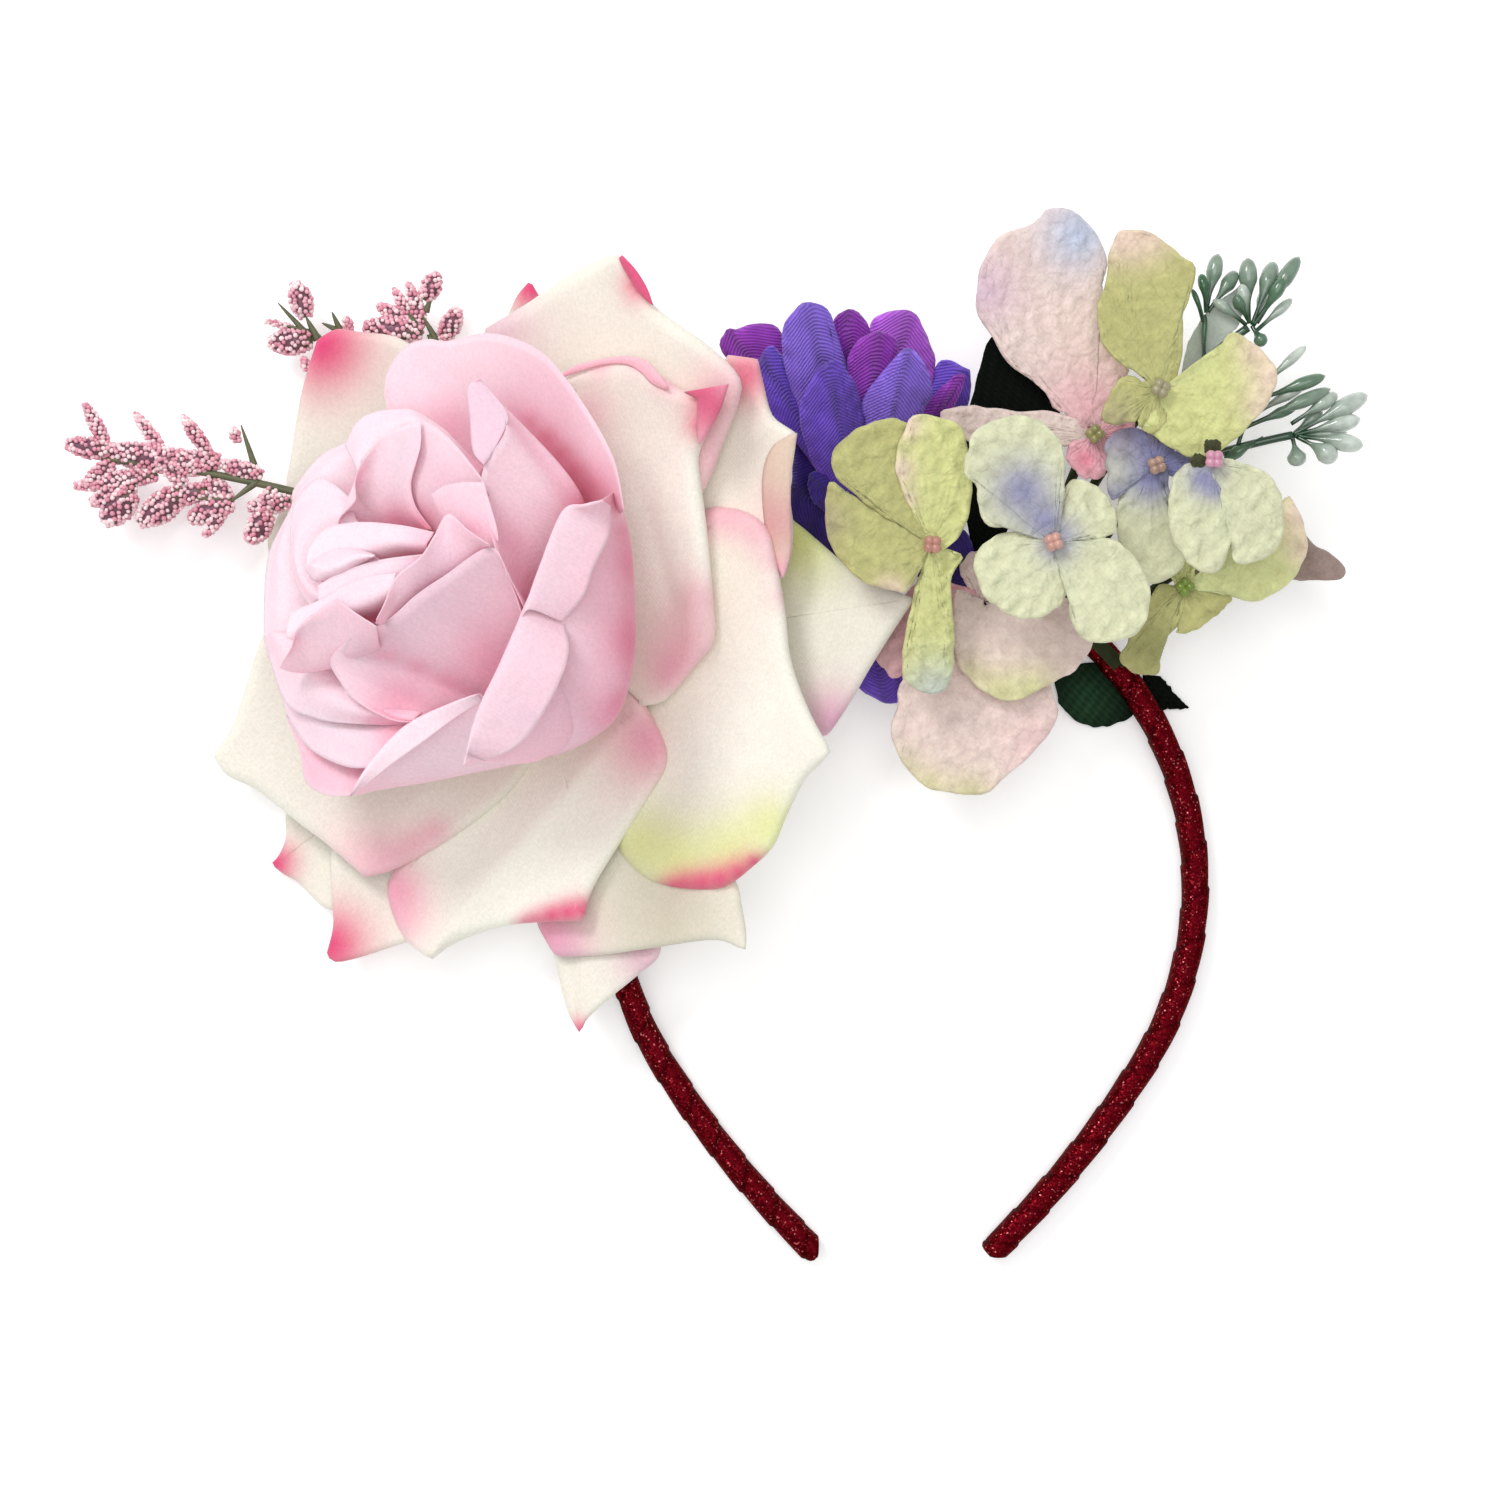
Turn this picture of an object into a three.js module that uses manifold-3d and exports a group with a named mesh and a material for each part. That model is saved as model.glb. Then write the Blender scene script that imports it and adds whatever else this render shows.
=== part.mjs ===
// Flower headband: a glitter-wrapped hoop lying on its back, dressed at the upper left with a large
// silk rose and across the crown with a cluster of hydrangea florets, a purple flower, leaves and sprigs.
// Millimetres, +Z up. The hoop opens towards -Y, and the flowers face up.
import * as THREE from 'three';
import { mergeVertices } from 'three/addons/utils/BufferGeometryUtils.js';
import Module from 'manifold-3d';

const wasm = await Module();
wasm.setup();

// Cloth, seats and mesh fineness
const CLOTH = 1.0;
const SEAT_GAP = 0.3;
const WELD = 1e-4;
const PROBE = 1e-3;
const BUD_STEPS = { along: 5, across: 6 };
const SKIRT_STEPS = { along: 4, across: 6 };
const LEAF_STEPS = { along: 6, across: 4 };

// Hoop: three arcs a side, and a rounded section with a flat back
const HOOP = {
  crownRadius: 49.2, crownTurn: 30,
  sideRadius: 67.6, sideTurn: 92,
  tipRadius: 199, tipTurn: 13.5,
  width: 5.6, depth: 7.0, chamfer: 1.7,
  step: 8, endLength: 2.4, endScale: 0.6,
};

// Rose: a skirt of cream petals about one axis, and a bud of pink petals about a more tilted one
const ROSE = { x: -68, y: -18.5, z: 18 };
const SKIRT_AXIS = { tilt: 18, towards: 185 };
const BUD_AXIS = { tilt: 31, towards: 152 };
const BUD_SHIFT = { x: -3, y: 1, rise: 10 };
const SKIRT = {
  root: 6.2, rootHalf: 2.2, widen: 1.15, shoulder: 1.8,
  dish: 12, dishReach: 62, layerPitch: 1.5, fan: 0.036,
  droopFrom: 0.6, sideFrom: 0.4,
};
const POST = { radius: 5.4, bottom: -13, top: 1, neck: 3.4, neckTop: 9, sides: 12 };
const RECEPTACLE = [
  [0, -4], [8, -4], [12.2, -0.5], [11.6, 0.2], [8.6, 2], [5.6, 4], [3.4, 6], [1.6, 8], [0, 8.5],
];
const ROSE_STEM = { radius: 2.4, sides: 8, seat: { x: -48.3, y: -29 } };

// Cream petals: heading, reach to the tip, half width, how far the shoulders sit back, layer from the top,
// and the droop of the tip and of the sides
const SKIRT_PETALS = [
  { name: 'tube', turn: 40, reach: 56, half: 31, back: 0.3, layer: 0, droop: 3, side: 1.2 },
  { name: 'left', turn: 203, reach: 72, half: 27, back: 0.24, layer: 0, droop: 2, side: 2 },
  { name: 'bottom_centre', turn: 256, reach: 63, half: 28, back: 0.2, layer: 1, droop: 2, side: 2 },
  { name: 'top', turn: 80, reach: 76, half: 27, back: 0.35, layer: 1, droop: 2, side: 2 },
  { name: 'upper_left', turn: 129, reach: 76, half: 20, back: 0.4, layer: 2, droop: 1, side: 1 },
  { name: 'lower_right', turn: -20, reach: 57, half: 37, back: 0.3, layer: 2, droop: 3, side: 2 },
  { name: 'corner_low', turn: 233, reach: 76, half: 15, back: 0.4, layer: 2, droop: 1, side: 1 },
  { name: 'far_left', turn: 162, reach: 60, half: 15, back: 0.3, layer: 3, droop: 0, side: 0.5 },
  { name: 'top_back', turn: 95, reach: 73, half: 13, back: 0.4, layer: 3, droop: 1, side: 1 },
  { name: 'upper_right', turn: 46, reach: 66, half: 22, back: 0.2, layer: 3, droop: 2, side: 2 },
  { name: 'bottom', turn: 288, reach: 66, half: 22, back: 0.05, layer: 3, droop: 1, side: 1 },
  { name: 'corner_left', turn: 216, reach: 73, half: 13, back: 0.4, layer: 3, droop: 0, side: 0.5 },
  { name: 'right', turn: 7, reach: 67, half: 22, back: 0.4, layer: 6, droop: 2, side: 2 },
  { name: 'bottom_tip', turn: 273, reach: 76, half: 12, back: 0.45, layer: 4, droop: 1, side: 1 },
];

// Bud rings from the outside in: root, belly and rim of the profile, and the pinwheel's gain a degree
const BUD_RINGS = {
  outer: { root: [13, 0], belly: [39, 0], rim: [38, 28], pinwheel: 0.085 },
  second: { root: [10, 2], belly: [34, 10], rim: [27, 38], pinwheel: 0.055 },
  third: { root: [7, 4], belly: [31, 18], rim: [14, 44], pinwheel: 0.04 },
  inner: { root: [4.6, 6], belly: [20, 22], rim: [7, 46], pinwheel: 0.03 },
  core: { root: [2.6, 8], belly: [9, 24], rim: [3, 48], pinwheel: 0.012 },
};
// A bud petal widens from its root, and its rim rolls out most on the free edge
const BUD = {
  rootSpan: 15, wideBy: 0.45, rollFrom: 0.7, rollDrop: 0.4,
  freeMiddle: 0.5, freeGain: 0.6, freeLeast: 0.1,
};

// Pink petals: ring, heading, half span in degrees, height against its ring, shoulder set-back, rim roll
const BUD_PETALS = [
  { name: 'crest', ring: 'outer', turn: 75, span: 42, high: 1.05, back: 0.3, roll: 4 },
  { name: 'flank_upper', ring: 'outer', turn: 12, span: 42, high: 1.0, back: 0.25, roll: 5 },
  { name: 'flank_lower', ring: 'outer', turn: -50, span: 42, high: 0.95, back: 0.25, roll: 5 },
  { name: 'chin', ring: 'outer', turn: -110, span: 42, high: 0.9, back: 0.3, roll: 4 },
  { name: 'cheek_low', ring: 'outer', turn: -169, span: 40, high: 0.9, back: 0.3, roll: 3 },
  { name: 'cheek_high', ring: 'outer', turn: 133, span: 40, high: 0.95, back: 0.3, roll: 3 },
  { name: 'brow_right', ring: 'second', turn: 55, span: 52, high: 1.05, back: 0.35, roll: 3 },
  { name: 'brow_left', ring: 'second', turn: 140, span: 52, high: 1.0, back: 0.3, roll: 3 },
  { name: 'jaw_left', ring: 'second', turn: -130, span: 55, high: 0.9, back: 0.3, roll: 3 },
  { name: 'jaw_right', ring: 'second', turn: -40, span: 55, high: 0.9, back: 0.3, roll: 3 },
  { name: 'scoop', ring: 'third', turn: -60, span: 72, high: 1.0, back: 0.3, roll: 1 },
  { name: 'fold_top', ring: 'third', turn: 60, span: 70, high: 1.0, back: 0.3, roll: 1 },
  { name: 'fold_left', ring: 'third', turn: 180, span: 72, high: 0.95, back: 0.3, roll: 1 },
  { name: 'swirl_low', ring: 'inner', turn: -90, span: 110, high: 1.0, back: 0.2, roll: 0.5 },
  { name: 'swirl_high', ring: 'inner', turn: 90, span: 110, high: 1.0, back: 0.2, roll: 0.5 },
  { name: 'heart', ring: 'core', turn: 170, span: 165, high: 1.0, back: 0.05, roll: 0 },
];

// Hydrangea florets: centre, cloth, whether a bead shows, how low the stem bends, and for each petal its
// heading, half span, reach and lift, the angles in degrees
const FLORETS = [
  { name: 'left_green', x: 3.2, y: 0, z: 38, cloth: 'paleGreen', bead: true, bow: 0.85,
    turns: [76, 125, 190, 268], spans: [24, 25, 38, 34], reaches: [23, 24, 20, 29], lifts: [8, 5, -2, -15] },
  { name: 'front_pale', x: 25, y: 0, z: 44, cloth: 'paleGreen', bead: true, bow: 1,
    turns: [40, 115, 235, 322], spans: [36, 38, 44, 42], reaches: [14, 24, 18, 22], lifts: [-10, 8, -5, 0] },
  { name: 'back_pink', x: 35, y: 22, z: 26, cloth: 'blush', bead: true, bow: 1,
    turns: [20, 106, 170, 270], spans: [35, 34, 26, 50], reaches: [8, 41, 28, 12], lifts: [0, 4, 4, 0] },
  { name: 'upper_green', x: 46, y: 29.3, z: 36, cloth: 'paleGreen', bead: true, bow: 1,
    turns: [98, 200, 270, 352], spans: [42, 38, 30, 50], reaches: [29, 11, 11, 23], lifts: [-4, 0, -5, -4] },
  { name: 'right_pale', x: 55, y: 15.5, z: 41, cloth: 'paleGreen', bead: true, bow: 1,
    turns: [90, 165, 258, 322], spans: [40, 32, 33, 31], reaches: [11, 10, 20, 19], lifts: [0, 0, -6, -8] },
  { name: 'violet_back', x: 46, y: 15.5, z: 31, cloth: 'blush', bead: true, bow: 1,
    turns: [10, 90, 190, 250], spans: [40, 38, 28, 31], reaches: [7, 11, 11, 23], lifts: [1, 2, 1.5, -5] },
  { name: 'lower_right', x: 52.5, y: -7, z: 24, cloth: 'paleGreen', bead: true, bow: 1,
    turns: [15, 115, 240, 310], spans: [34, 45, 36, 30], reaches: [25, 11, 18, 14], lifts: [5, 1, -5, -1] },
  { name: 'lower_pink', x: 14.5, y: -9.5, z: 23, cloth: 'blush', bead: false, bow: 1,
    turns: [100, 200, 262, 325], spans: [40, 27, 35, 28], reaches: [7, 20, 38, 22], lifts: [0, -5, -6, 5] },
  { name: 'far_taupe', x: 60, y: 2, z: 17, cloth: 'taupe', bead: false, bow: 1,
    turns: [75, 165, 255, 345], spans: [40, 40, 40, 30], reaches: [12, 10, 11, 26], lifts: [0, 0, 0, 4] },
];
// Lobes: depth of the clefts, bluntness, least reach, and how many half spans a lobe's lift spreads over
const FLORET_LOBE = { cleft: 0.3, blunt: 2.6, fall: 0.7, least: 4, liftReach: 4,
  samples: [-0.92, -0.55, 0, 0.55, 0.92] };
const BEAD = { radius: 1.7, around: 6, rows: 4 };

// Purple flower: three tiers of blunt petals
const PURPLE = { x: -8, y: 6 };
const PURPLE_LOBE = { cleft: 0.45, blunt: 4, fall: 0.8, least: 8, liftReach: 4,
  samples: [-0.9, -0.5, 0.5, 0.9] };
const PURPLE_SPAN = 13;
const PURPLE_TIERS = [
  { name: 'outer', rise: 0, turns: [38, 66, 92, 118, 148, 215, 268, 340],
    reaches: [36, 42, 42, 42, 32, 24, 38, 17], lifts: [12, 15, 15, 14, 8, 4, 3, 8] },
  { name: 'middle', rise: 1.8, turns: [20, 52, 79, 105, 133, 160, 240, 300],
    reaches: [20, 30, 34, 34, 34, 24, 20, 16], lifts: [12, 18, 20, 20, 18, 12, 8, 8] },
  { name: 'inner', rise: 3.6, turns: [30, 66, 92, 118, 148, 205, 270, 330],
    reaches: [18, 26, 26, 26, 18, 16, 14, 10], lifts: [20, 26, 26, 24, 16, 12, 12, 14] },
];

// Stems: a bundle laid along the crown's front, and a branch from it to the back of each floret
const BUNDLE = { radius: 1.6, fromX: 11, toY: -24, sides: 6, steps: 6 };
const BRANCH = { radius: 1.0, sides: 5, steps: 3 };

// Leaves: stem end, heading, length, half width, rise along the length
const LEAVES = [
  { name: 'upper', x: 13.2, y: -1.6, z: 14.7, turn: 74, length: 46, half: 10, rise: 8 },
  { name: 'lower', x: 57.5, y: -29, z: 0.9, turn: 188, length: 30, half: 7, rise: 0 },
];
const BLADE = { stalk: 0.06, belly: 0.8, fullness: 0.8, taper: 0.8, taperPower: 6 };

// Pink sprigs: a stem through three points, and flowered twigs by their fork along it, heading and length
const PINK_SPRIGS = [
  { name: 'plume', girth: 3.6, stem: [[-103, 7.5, 9.3], [-128, 16, 15], [-158, 19, 13]],
    twigs: [[0.42, 115, 13], [0.62, 118, 12.5], [0.77, 121, 12.5], [0.93, 125, 14], [1, 150, 9],
      [0.98, 222, 8], [0.85, 230, 12], [0.72, 233, 11.5], [0.56, 238, 10.5], [0.44, 256, 9.5]] },
  { name: 'left_tuft', girth: 3.4, stem: [[-92, 8, 7.8], [-106, 30, 6], [-116.5, 44, 8]],
    twigs: [[1, 109, 11.5], [1, 142, 10], [1, 180, 9.5], [1, 56, 5.5]] },
  { name: 'top_tuft', girth: 3.4, stem: [[-84, 6, 9.4], [-90, 28, 8], [-94, 44, 10]],
    twigs: [[1, 95, 11], [1, 130, 11], [1, 163, 11.5], [1, 45, 8], [0.97, 15, 6]] },
];

// Frosted sprigs: as above, with slimmer buds
const FROST_SPRIGS = [
  { name: 'upper', girth: 2.6, stem: [[45.8, 26, 24], [55, 36, 25], [64.5, 42.5, 27]],
    twigs: [[0.6, 92, 15], [0.6, 82, 18.5], [0.62, 72, 15.5], [0.85, 88, 6], [1, 90, 12], [1, 66, 11.5],
      [1, 54, 16.5], [1, 30, 7.5]] },
  { name: 'right', girth: 2.6, stem: [[46.1, 14.9, 24], [62, 20, 25], [73, 22, 27]],
    twigs: [[0.9, 75, 17.5], [1, 61, 12.5], [1, 48, 10], [1, 28, 16], [1, 12, 11], [1, -10, 12],
      [1, -41, 6]] },
];
const TWIG = { stem: 0.9, twig: 0.6, stemSides: 5, twigSides: 4, steps: 3, rise: 12, neck: 0.25, core: 0.5 };
const SPINDLE = [[0, 0], [1, 0.45], [0.8, 0.75], [0, 1]];

// Finishes: colour and roughness
const FINISH = {
  glitter: { color: 0x7a0f1e, roughness: 0.45 },
  cream: { color: 0xeee8d4, roughness: 0.85 },
  pink: { color: 0xf4c3d3, roughness: 0.85 },
  calyx: { color: 0x5d7040, roughness: 0.5 },
  paleGreen: { color: 0xd7dfa6, roughness: 0.85 },
  blush: { color: 0xe6b8bc, roughness: 0.85 },
  taupe: { color: 0xa08a94, roughness: 0.85 },
  bead: { color: 0xb98a6a, roughness: 0.3 },
  purple: { color: 0x7a4fb0, roughness: 0.8 },
  leaf: { color: 0x1c3324, roughness: 0.7 },
  blossom: { color: 0xd9a9b9, roughness: 0.8 },
  frost: { color: 0x3f7a56, roughness: 0.4 },
};

const group = new THREE.Group();
const radians = THREE.MathUtils.degToRad;
const ease = (value) => THREE.MathUtils.smoothstep(value, 0, 1);
const pastShare = (value, from) => Math.max(0, (value - from) / (1 - from));
const vector = (list) => new THREE.Vector3(...list);

function closedGeometry(positions, faces) {
  const geometry = new THREE.BufferGeometry();
  geometry.setAttribute('position', new THREE.Float32BufferAttribute(positions, 3));
  geometry.setIndex(faces);
  return geometry;
}

// A closed solid from rings of points: neighbouring rings are joined, and the two end rings are capped
function loft(rings) {
  const sides = rings[0].length;
  const positions = rings.flat().flatMap((point) => point.toArray());
  const faces = [];
  for (let row = 0; row + 1 < rings.length; row += 1) {
    for (let side = 0; side < sides; side += 1) {
      const a = row * sides + side;
      const b = row * sides + ((side + 1) % sides);
      faces.push(a, b + sides, b, a, a + sides, b + sides);
    }
  }
  const last = (rings.length - 1) * sides;
  for (let side = 1; side + 1 < sides; side += 1) {
    faces.push(0, side, side + 1);
    faces.push(last, last + side + 1, last + side);
  }
  return closedGeometry(positions, faces);
}

// A cloth wall: a grid of points on a surface, thickened evenly to both sides and closed round its edge
function clothWall(surface, steps) {
  const { along, across } = steps;
  const columns = across + 1;
  const count = (along + 1) * columns;
  const fronts = [];
  const backs = [];
  for (let row = 0; row <= along; row += 1) {
    for (let column = 0; column <= across; column += 1) {
      const t = row / along;
      const s = (2 * column) / across - 1;
      const forward = row === along ? -PROBE : PROBE;
      const sideways = column === across ? -PROBE : PROBE;
      const point = surface(t, s);
      const alongStep = surface(t + forward, s).sub(point).multiplyScalar(Math.sign(forward));
      const acrossStep = surface(t, s + sideways).sub(point).multiplyScalar(Math.sign(sideways));
      const normal = acrossStep.cross(alongStep).normalize().multiplyScalar(CLOTH / 2);
      fronts.push(...point.clone().add(normal).toArray());
      backs.push(...point.clone().sub(normal).toArray());
    }
  }
  const faces = [];
  const quad = (a, b, c, d) => faces.push(a, b, c, a, c, d);
  for (let row = 0; row < along; row += 1) {
    for (let column = 0; column < across; column += 1) {
      const a = row * columns + column;
      quad(a, a + 1, a + columns + 1, a + columns);
      quad(count + a, count + a + columns, count + a + columns + 1, count + a + 1);
    }
    const left = row * columns;
    const right = left + across;
    quad(left, left + columns, count + left + columns, count + left);
    quad(right, count + right, count + right + columns, right + columns);
  }
  for (let column = 0; column < across; column += 1) {
    const top = along * columns + column;
    quad(column, count + column, count + column + 1, column + 1);
    quad(top, top + 1, count + top + 1, count + top);
  }
  return closedGeometry([...fronts, ...backs], faces);
}

// A lobed cloth disc: a fan of cloth from a centre point to a rim, thickened upright
function clothDisc(centre, rim) {
  const count = 1 + rim.length;
  const fronts = [];
  const backs = [];
  for (const point of [centre, ...rim]) {
    fronts.push(point.x, point.y, point.z + CLOTH / 2);
    backs.push(point.x, point.y, point.z - CLOTH / 2);
  }
  const faces = [];
  for (let index = 1; index < count; index += 1) {
    const next = index % rim.length + 1;
    faces.push(0, index, next);
    faces.push(count, count + next, count + index);
    faces.push(index, count + index, count + next);
    faces.push(index, count + next, next);
  }
  return closedGeometry([...fronts, ...backs], faces);
}

// Frame of a flower: its local X stays nearest to the object's X, and its local Z is the flower's axis
function flowerFrame(axis, origin) {
  const tilt = radians(axis.tilt);
  const towards = radians(axis.towards);
  const up = new THREE.Vector3(
    Math.sin(tilt) * Math.cos(towards), Math.sin(tilt) * Math.sin(towards), Math.cos(tilt));
  const right = new THREE.Vector3(1, 0, 0).addScaledVector(up, -up.x).normalize();
  const ahead = up.clone().cross(right);
  return new THREE.Matrix4().makeBasis(right, ahead, up).setPosition(origin);
}

// Joins: closed geometries with shared corners become one solid
function bareGeometry(geometry) {
  const bare = geometry.clone();
  bare.deleteAttribute('normal');
  bare.deleteAttribute('uv');
  return mergeVertices(bare, WELD);
}

function toSolid(geometry) {
  const bare = bareGeometry(geometry);
  return new wasm.Manifold(new wasm.Mesh({
    numProp: 3,
    vertProperties: new Float32Array(bare.attributes.position.array),
    triVerts: new Uint32Array(bare.index.array),
  }));
}

function fromSolid(solid) {
  const mesh = solid.getMesh();
  return closedGeometry(Array.from(mesh.vertProperties), Array.from(mesh.triVerts));
}

const joined = (geometries) => fromSolid(geometries.map(toSolid).reduce((all, next) => all.add(next)));

// A round rod along a curve, and a spindle between two points
function rod(curve, radius, sides, steps) {
  const section = new THREE.Shape();
  for (let side = 0; side < sides; side += 1) {
    const turn = (2 * Math.PI * side) / sides;
    const corner = new THREE.Vector2(radius * Math.cos(turn), radius * Math.sin(turn));
    if (side === 0) section.moveTo(corner.x, corner.y);
    else section.lineTo(corner.x, corner.y);
  }
  return new THREE.ExtrudeGeometry(section, { steps, extrudePath: curve, bevelEnabled: false });
}

function spindle(from, to, girth, sides) {
  const length = from.distanceTo(to);
  const points = SPINDLE.map(([wide, along]) => new THREE.Vector2((wide * girth) / 2, along * length));
  const body = new THREE.LatheGeometry(points, sides);
  const lean = new THREE.Quaternion().setFromUnitVectors(
    new THREE.Vector3(0, 1, 0), to.clone().sub(from).normalize());
  body.applyQuaternion(lean);
  body.translate(from.x, from.y, from.z);
  return body;
}

function add(name, geometry, finish) {
  const mesh = new THREE.Mesh(geometry, new THREE.MeshStandardMaterial({ ...finish, metalness: 0 }));
  mesh.name = name;
  group.add(mesh);
}

// Hoop centreline: stations from the left tip over the crown to the right tip
function hoopStations() {
  const arcs = [
    { radius: HOOP.crownRadius, turn: HOOP.crownTurn },
    { radius: HOOP.sideRadius, turn: HOOP.sideTurn },
    { radius: HOOP.tipRadius, turn: HOOP.tipTurn },
  ];
  const half = [{ x: 0, y: 0, heading: 0 }];
  for (const arc of arcs) {
    const length = arc.radius * radians(arc.turn);
    const pieces = Math.round(length / HOOP.step);
    for (let piece = 0; piece < pieces; piece += 1) {
      const from = half[half.length - 1];
      const heading = from.heading - radians(arc.turn) / pieces;
      half.push({
        x: from.x + arc.radius * (Math.sin(from.heading) - Math.sin(heading)),
        y: from.y - arc.radius * (Math.cos(from.heading) - Math.cos(heading)),
        heading,
      });
    }
  }
  const mirrored = half.slice(1).reverse().map((s) => ({ x: -s.x, y: s.y, heading: -s.heading }));
  return [...mirrored, ...half];
}

function hoopRing(station, scale) {
  const side = new THREE.Vector3(-Math.sin(station.heading), Math.cos(station.heading), 0);
  const across = (HOOP.width / 2) * scale;
  const inner = across - HOOP.chamfer * scale;
  const low = HOOP.chamfer;
  const high = HOOP.depth - HOOP.chamfer;
  const outline = [
    [-inner, 0], [-across, low], [-across, high], [-inner, HOOP.depth],
    [inner, HOOP.depth], [across, high], [across, low], [inner, 0],
  ];
  return outline.map(([offset, height]) => new THREE.Vector3(
    station.x + side.x * offset, station.y + side.y * offset, height));
}

function hoopEnd(station, length) {
  return {
    x: station.x + Math.cos(station.heading) * length,
    y: station.y + Math.sin(station.heading) * length,
    heading: station.heading,
  };
}

const stations = hoopStations();
const hoopRings = stations.map((station) => hoopRing(station, 1));
hoopRings.unshift(hoopRing(hoopEnd(stations[0], -HOOP.endLength), HOOP.endScale));
hoopRings.push(hoopRing(hoopEnd(stations[stations.length - 1], HOOP.endLength), HOOP.endScale));
add('hoop', loft(hoopRings), FINISH.glitter);

// Rose skirt: shield-shaped petals over one shallow dish, each layer a little below the one before
const roseCentre = new THREE.Vector3(ROSE.x, ROSE.y, ROSE.z);
const skirtFrame = flowerFrame(SKIRT_AXIS, roseCentre);

function skirtSurface(petal) {
  const heading = radians(petal.turn);
  const length = petal.reach - SKIRT.root;
  return (t, s) => {
    const widen = Math.sin(Math.min(1, SKIRT.widen * t) * (Math.PI / 2));
    const aside = (SKIRT.rootHalf + (petal.half - SKIRT.rootHalf) * widen) * s;
    const out = SKIRT.root + length * (t - petal.back * Math.abs(s) ** SKIRT.shoulder * t * t);
    const far = Math.hypot(out, aside);
    const dish = SKIRT.dish * (far / SKIRT.dishReach) ** 2;
    const layer = petal.layer * (SKIRT.layerPitch + SKIRT.fan * far);
    const tipCurl = petal.droop * pastShare(t, SKIRT.droopFrom) ** 2 * (1 - s * s);
    const sideCurl = petal.side * pastShare(Math.abs(s), SKIRT.sideFrom) ** 2 * t;
    return new THREE.Vector3(
      out * Math.cos(heading) - aside * Math.sin(heading),
      out * Math.sin(heading) + aside * Math.cos(heading),
      dish - layer - tipCurl - sideCurl,
    ).applyMatrix4(skirtFrame);
  };
}

for (const petal of SKIRT_PETALS) {
  add(`rose_skirt_${petal.name}`, clothWall(skirtSurface(petal), SKIRT_STEPS), FINISH.cream);
}

// Rose bud: cupped petals wrapped about the bud's axis, each ring a pinwheel
const budCentre = roseCentre.clone().add(new THREE.Vector3(BUD_SHIFT.x, BUD_SHIFT.y, 0));
const budFrame = flowerFrame(BUD_AXIS, budCentre);
budFrame.multiply(new THREE.Matrix4().makeTranslation(0, 0, BUD_SHIFT.rise));

function budSurface(petal) {
  const ring = BUD_RINGS[petal.ring];
  const profile = new THREE.QuadraticBezierCurve(
    new THREE.Vector2(...ring.root), new THREE.Vector2(...ring.belly), new THREE.Vector2(...ring.rim));
  return (t, s) => {
    const at = profile.getPoint(petal.high * (t - petal.back * s * s * t * t));
    const open = ease(t / BUD.wideBy);
    const spread = (BUD.rootSpan + (petal.span - BUD.rootSpan) * open) * s;
    const turn = radians(petal.turn + spread);
    const free = THREE.MathUtils.clamp(BUD.freeMiddle + BUD.freeGain * s, BUD.freeLeast, 1);
    const lip = petal.roll * free * pastShare(t, BUD.rollFrom) ** 2;
    const radius = at.x + ring.pinwheel * spread * open + lip;
    return new THREE.Vector3(radius * Math.cos(turn), radius * Math.sin(turn), at.y - BUD.rollDrop * lip)
      .applyMatrix4(budFrame);
  };
}

for (const petal of BUD_PETALS) {
  add(`rose_bud_${petal.name}`, clothWall(budSurface(petal), BUD_STEPS), FINISH.pink);
}

// Rose post: the petals' roots ring it, and its bent stem reaches the hoop's front
function turned(profile, sides, frame) {
  const points = profile.map(([radius, height]) => new THREE.Vector2(radius, height));
  const body = new THREE.LatheGeometry(points, sides);
  body.rotateX(Math.PI / 2);
  body.applyMatrix4(frame);
  return body;
}

const postProfile = [
  [0, POST.bottom], [POST.radius, POST.bottom], [POST.radius, POST.top],
  [POST.neck, POST.top], [POST.neck, POST.neckTop], [0, POST.neckTop],
];
const stemSeat = new THREE.Vector3(
  ROSE_STEM.seat.x, ROSE_STEM.seat.y, HOOP.depth + SEAT_GAP + ROSE_STEM.radius);
const stemStart = new THREE.Vector3(0, 0, POST.bottom + ROSE_STEM.radius).applyMatrix4(skirtFrame);
const rosePost = joined([
  turned(postProfile, POST.sides, skirtFrame),
  turned(RECEPTACLE, POST.sides, budFrame),
  rod(new THREE.LineCurve3(stemStart, stemSeat), ROSE_STEM.radius, ROSE_STEM.sides, 1),
]);
add('rose_post', rosePost, FINISH.calyx);

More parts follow.
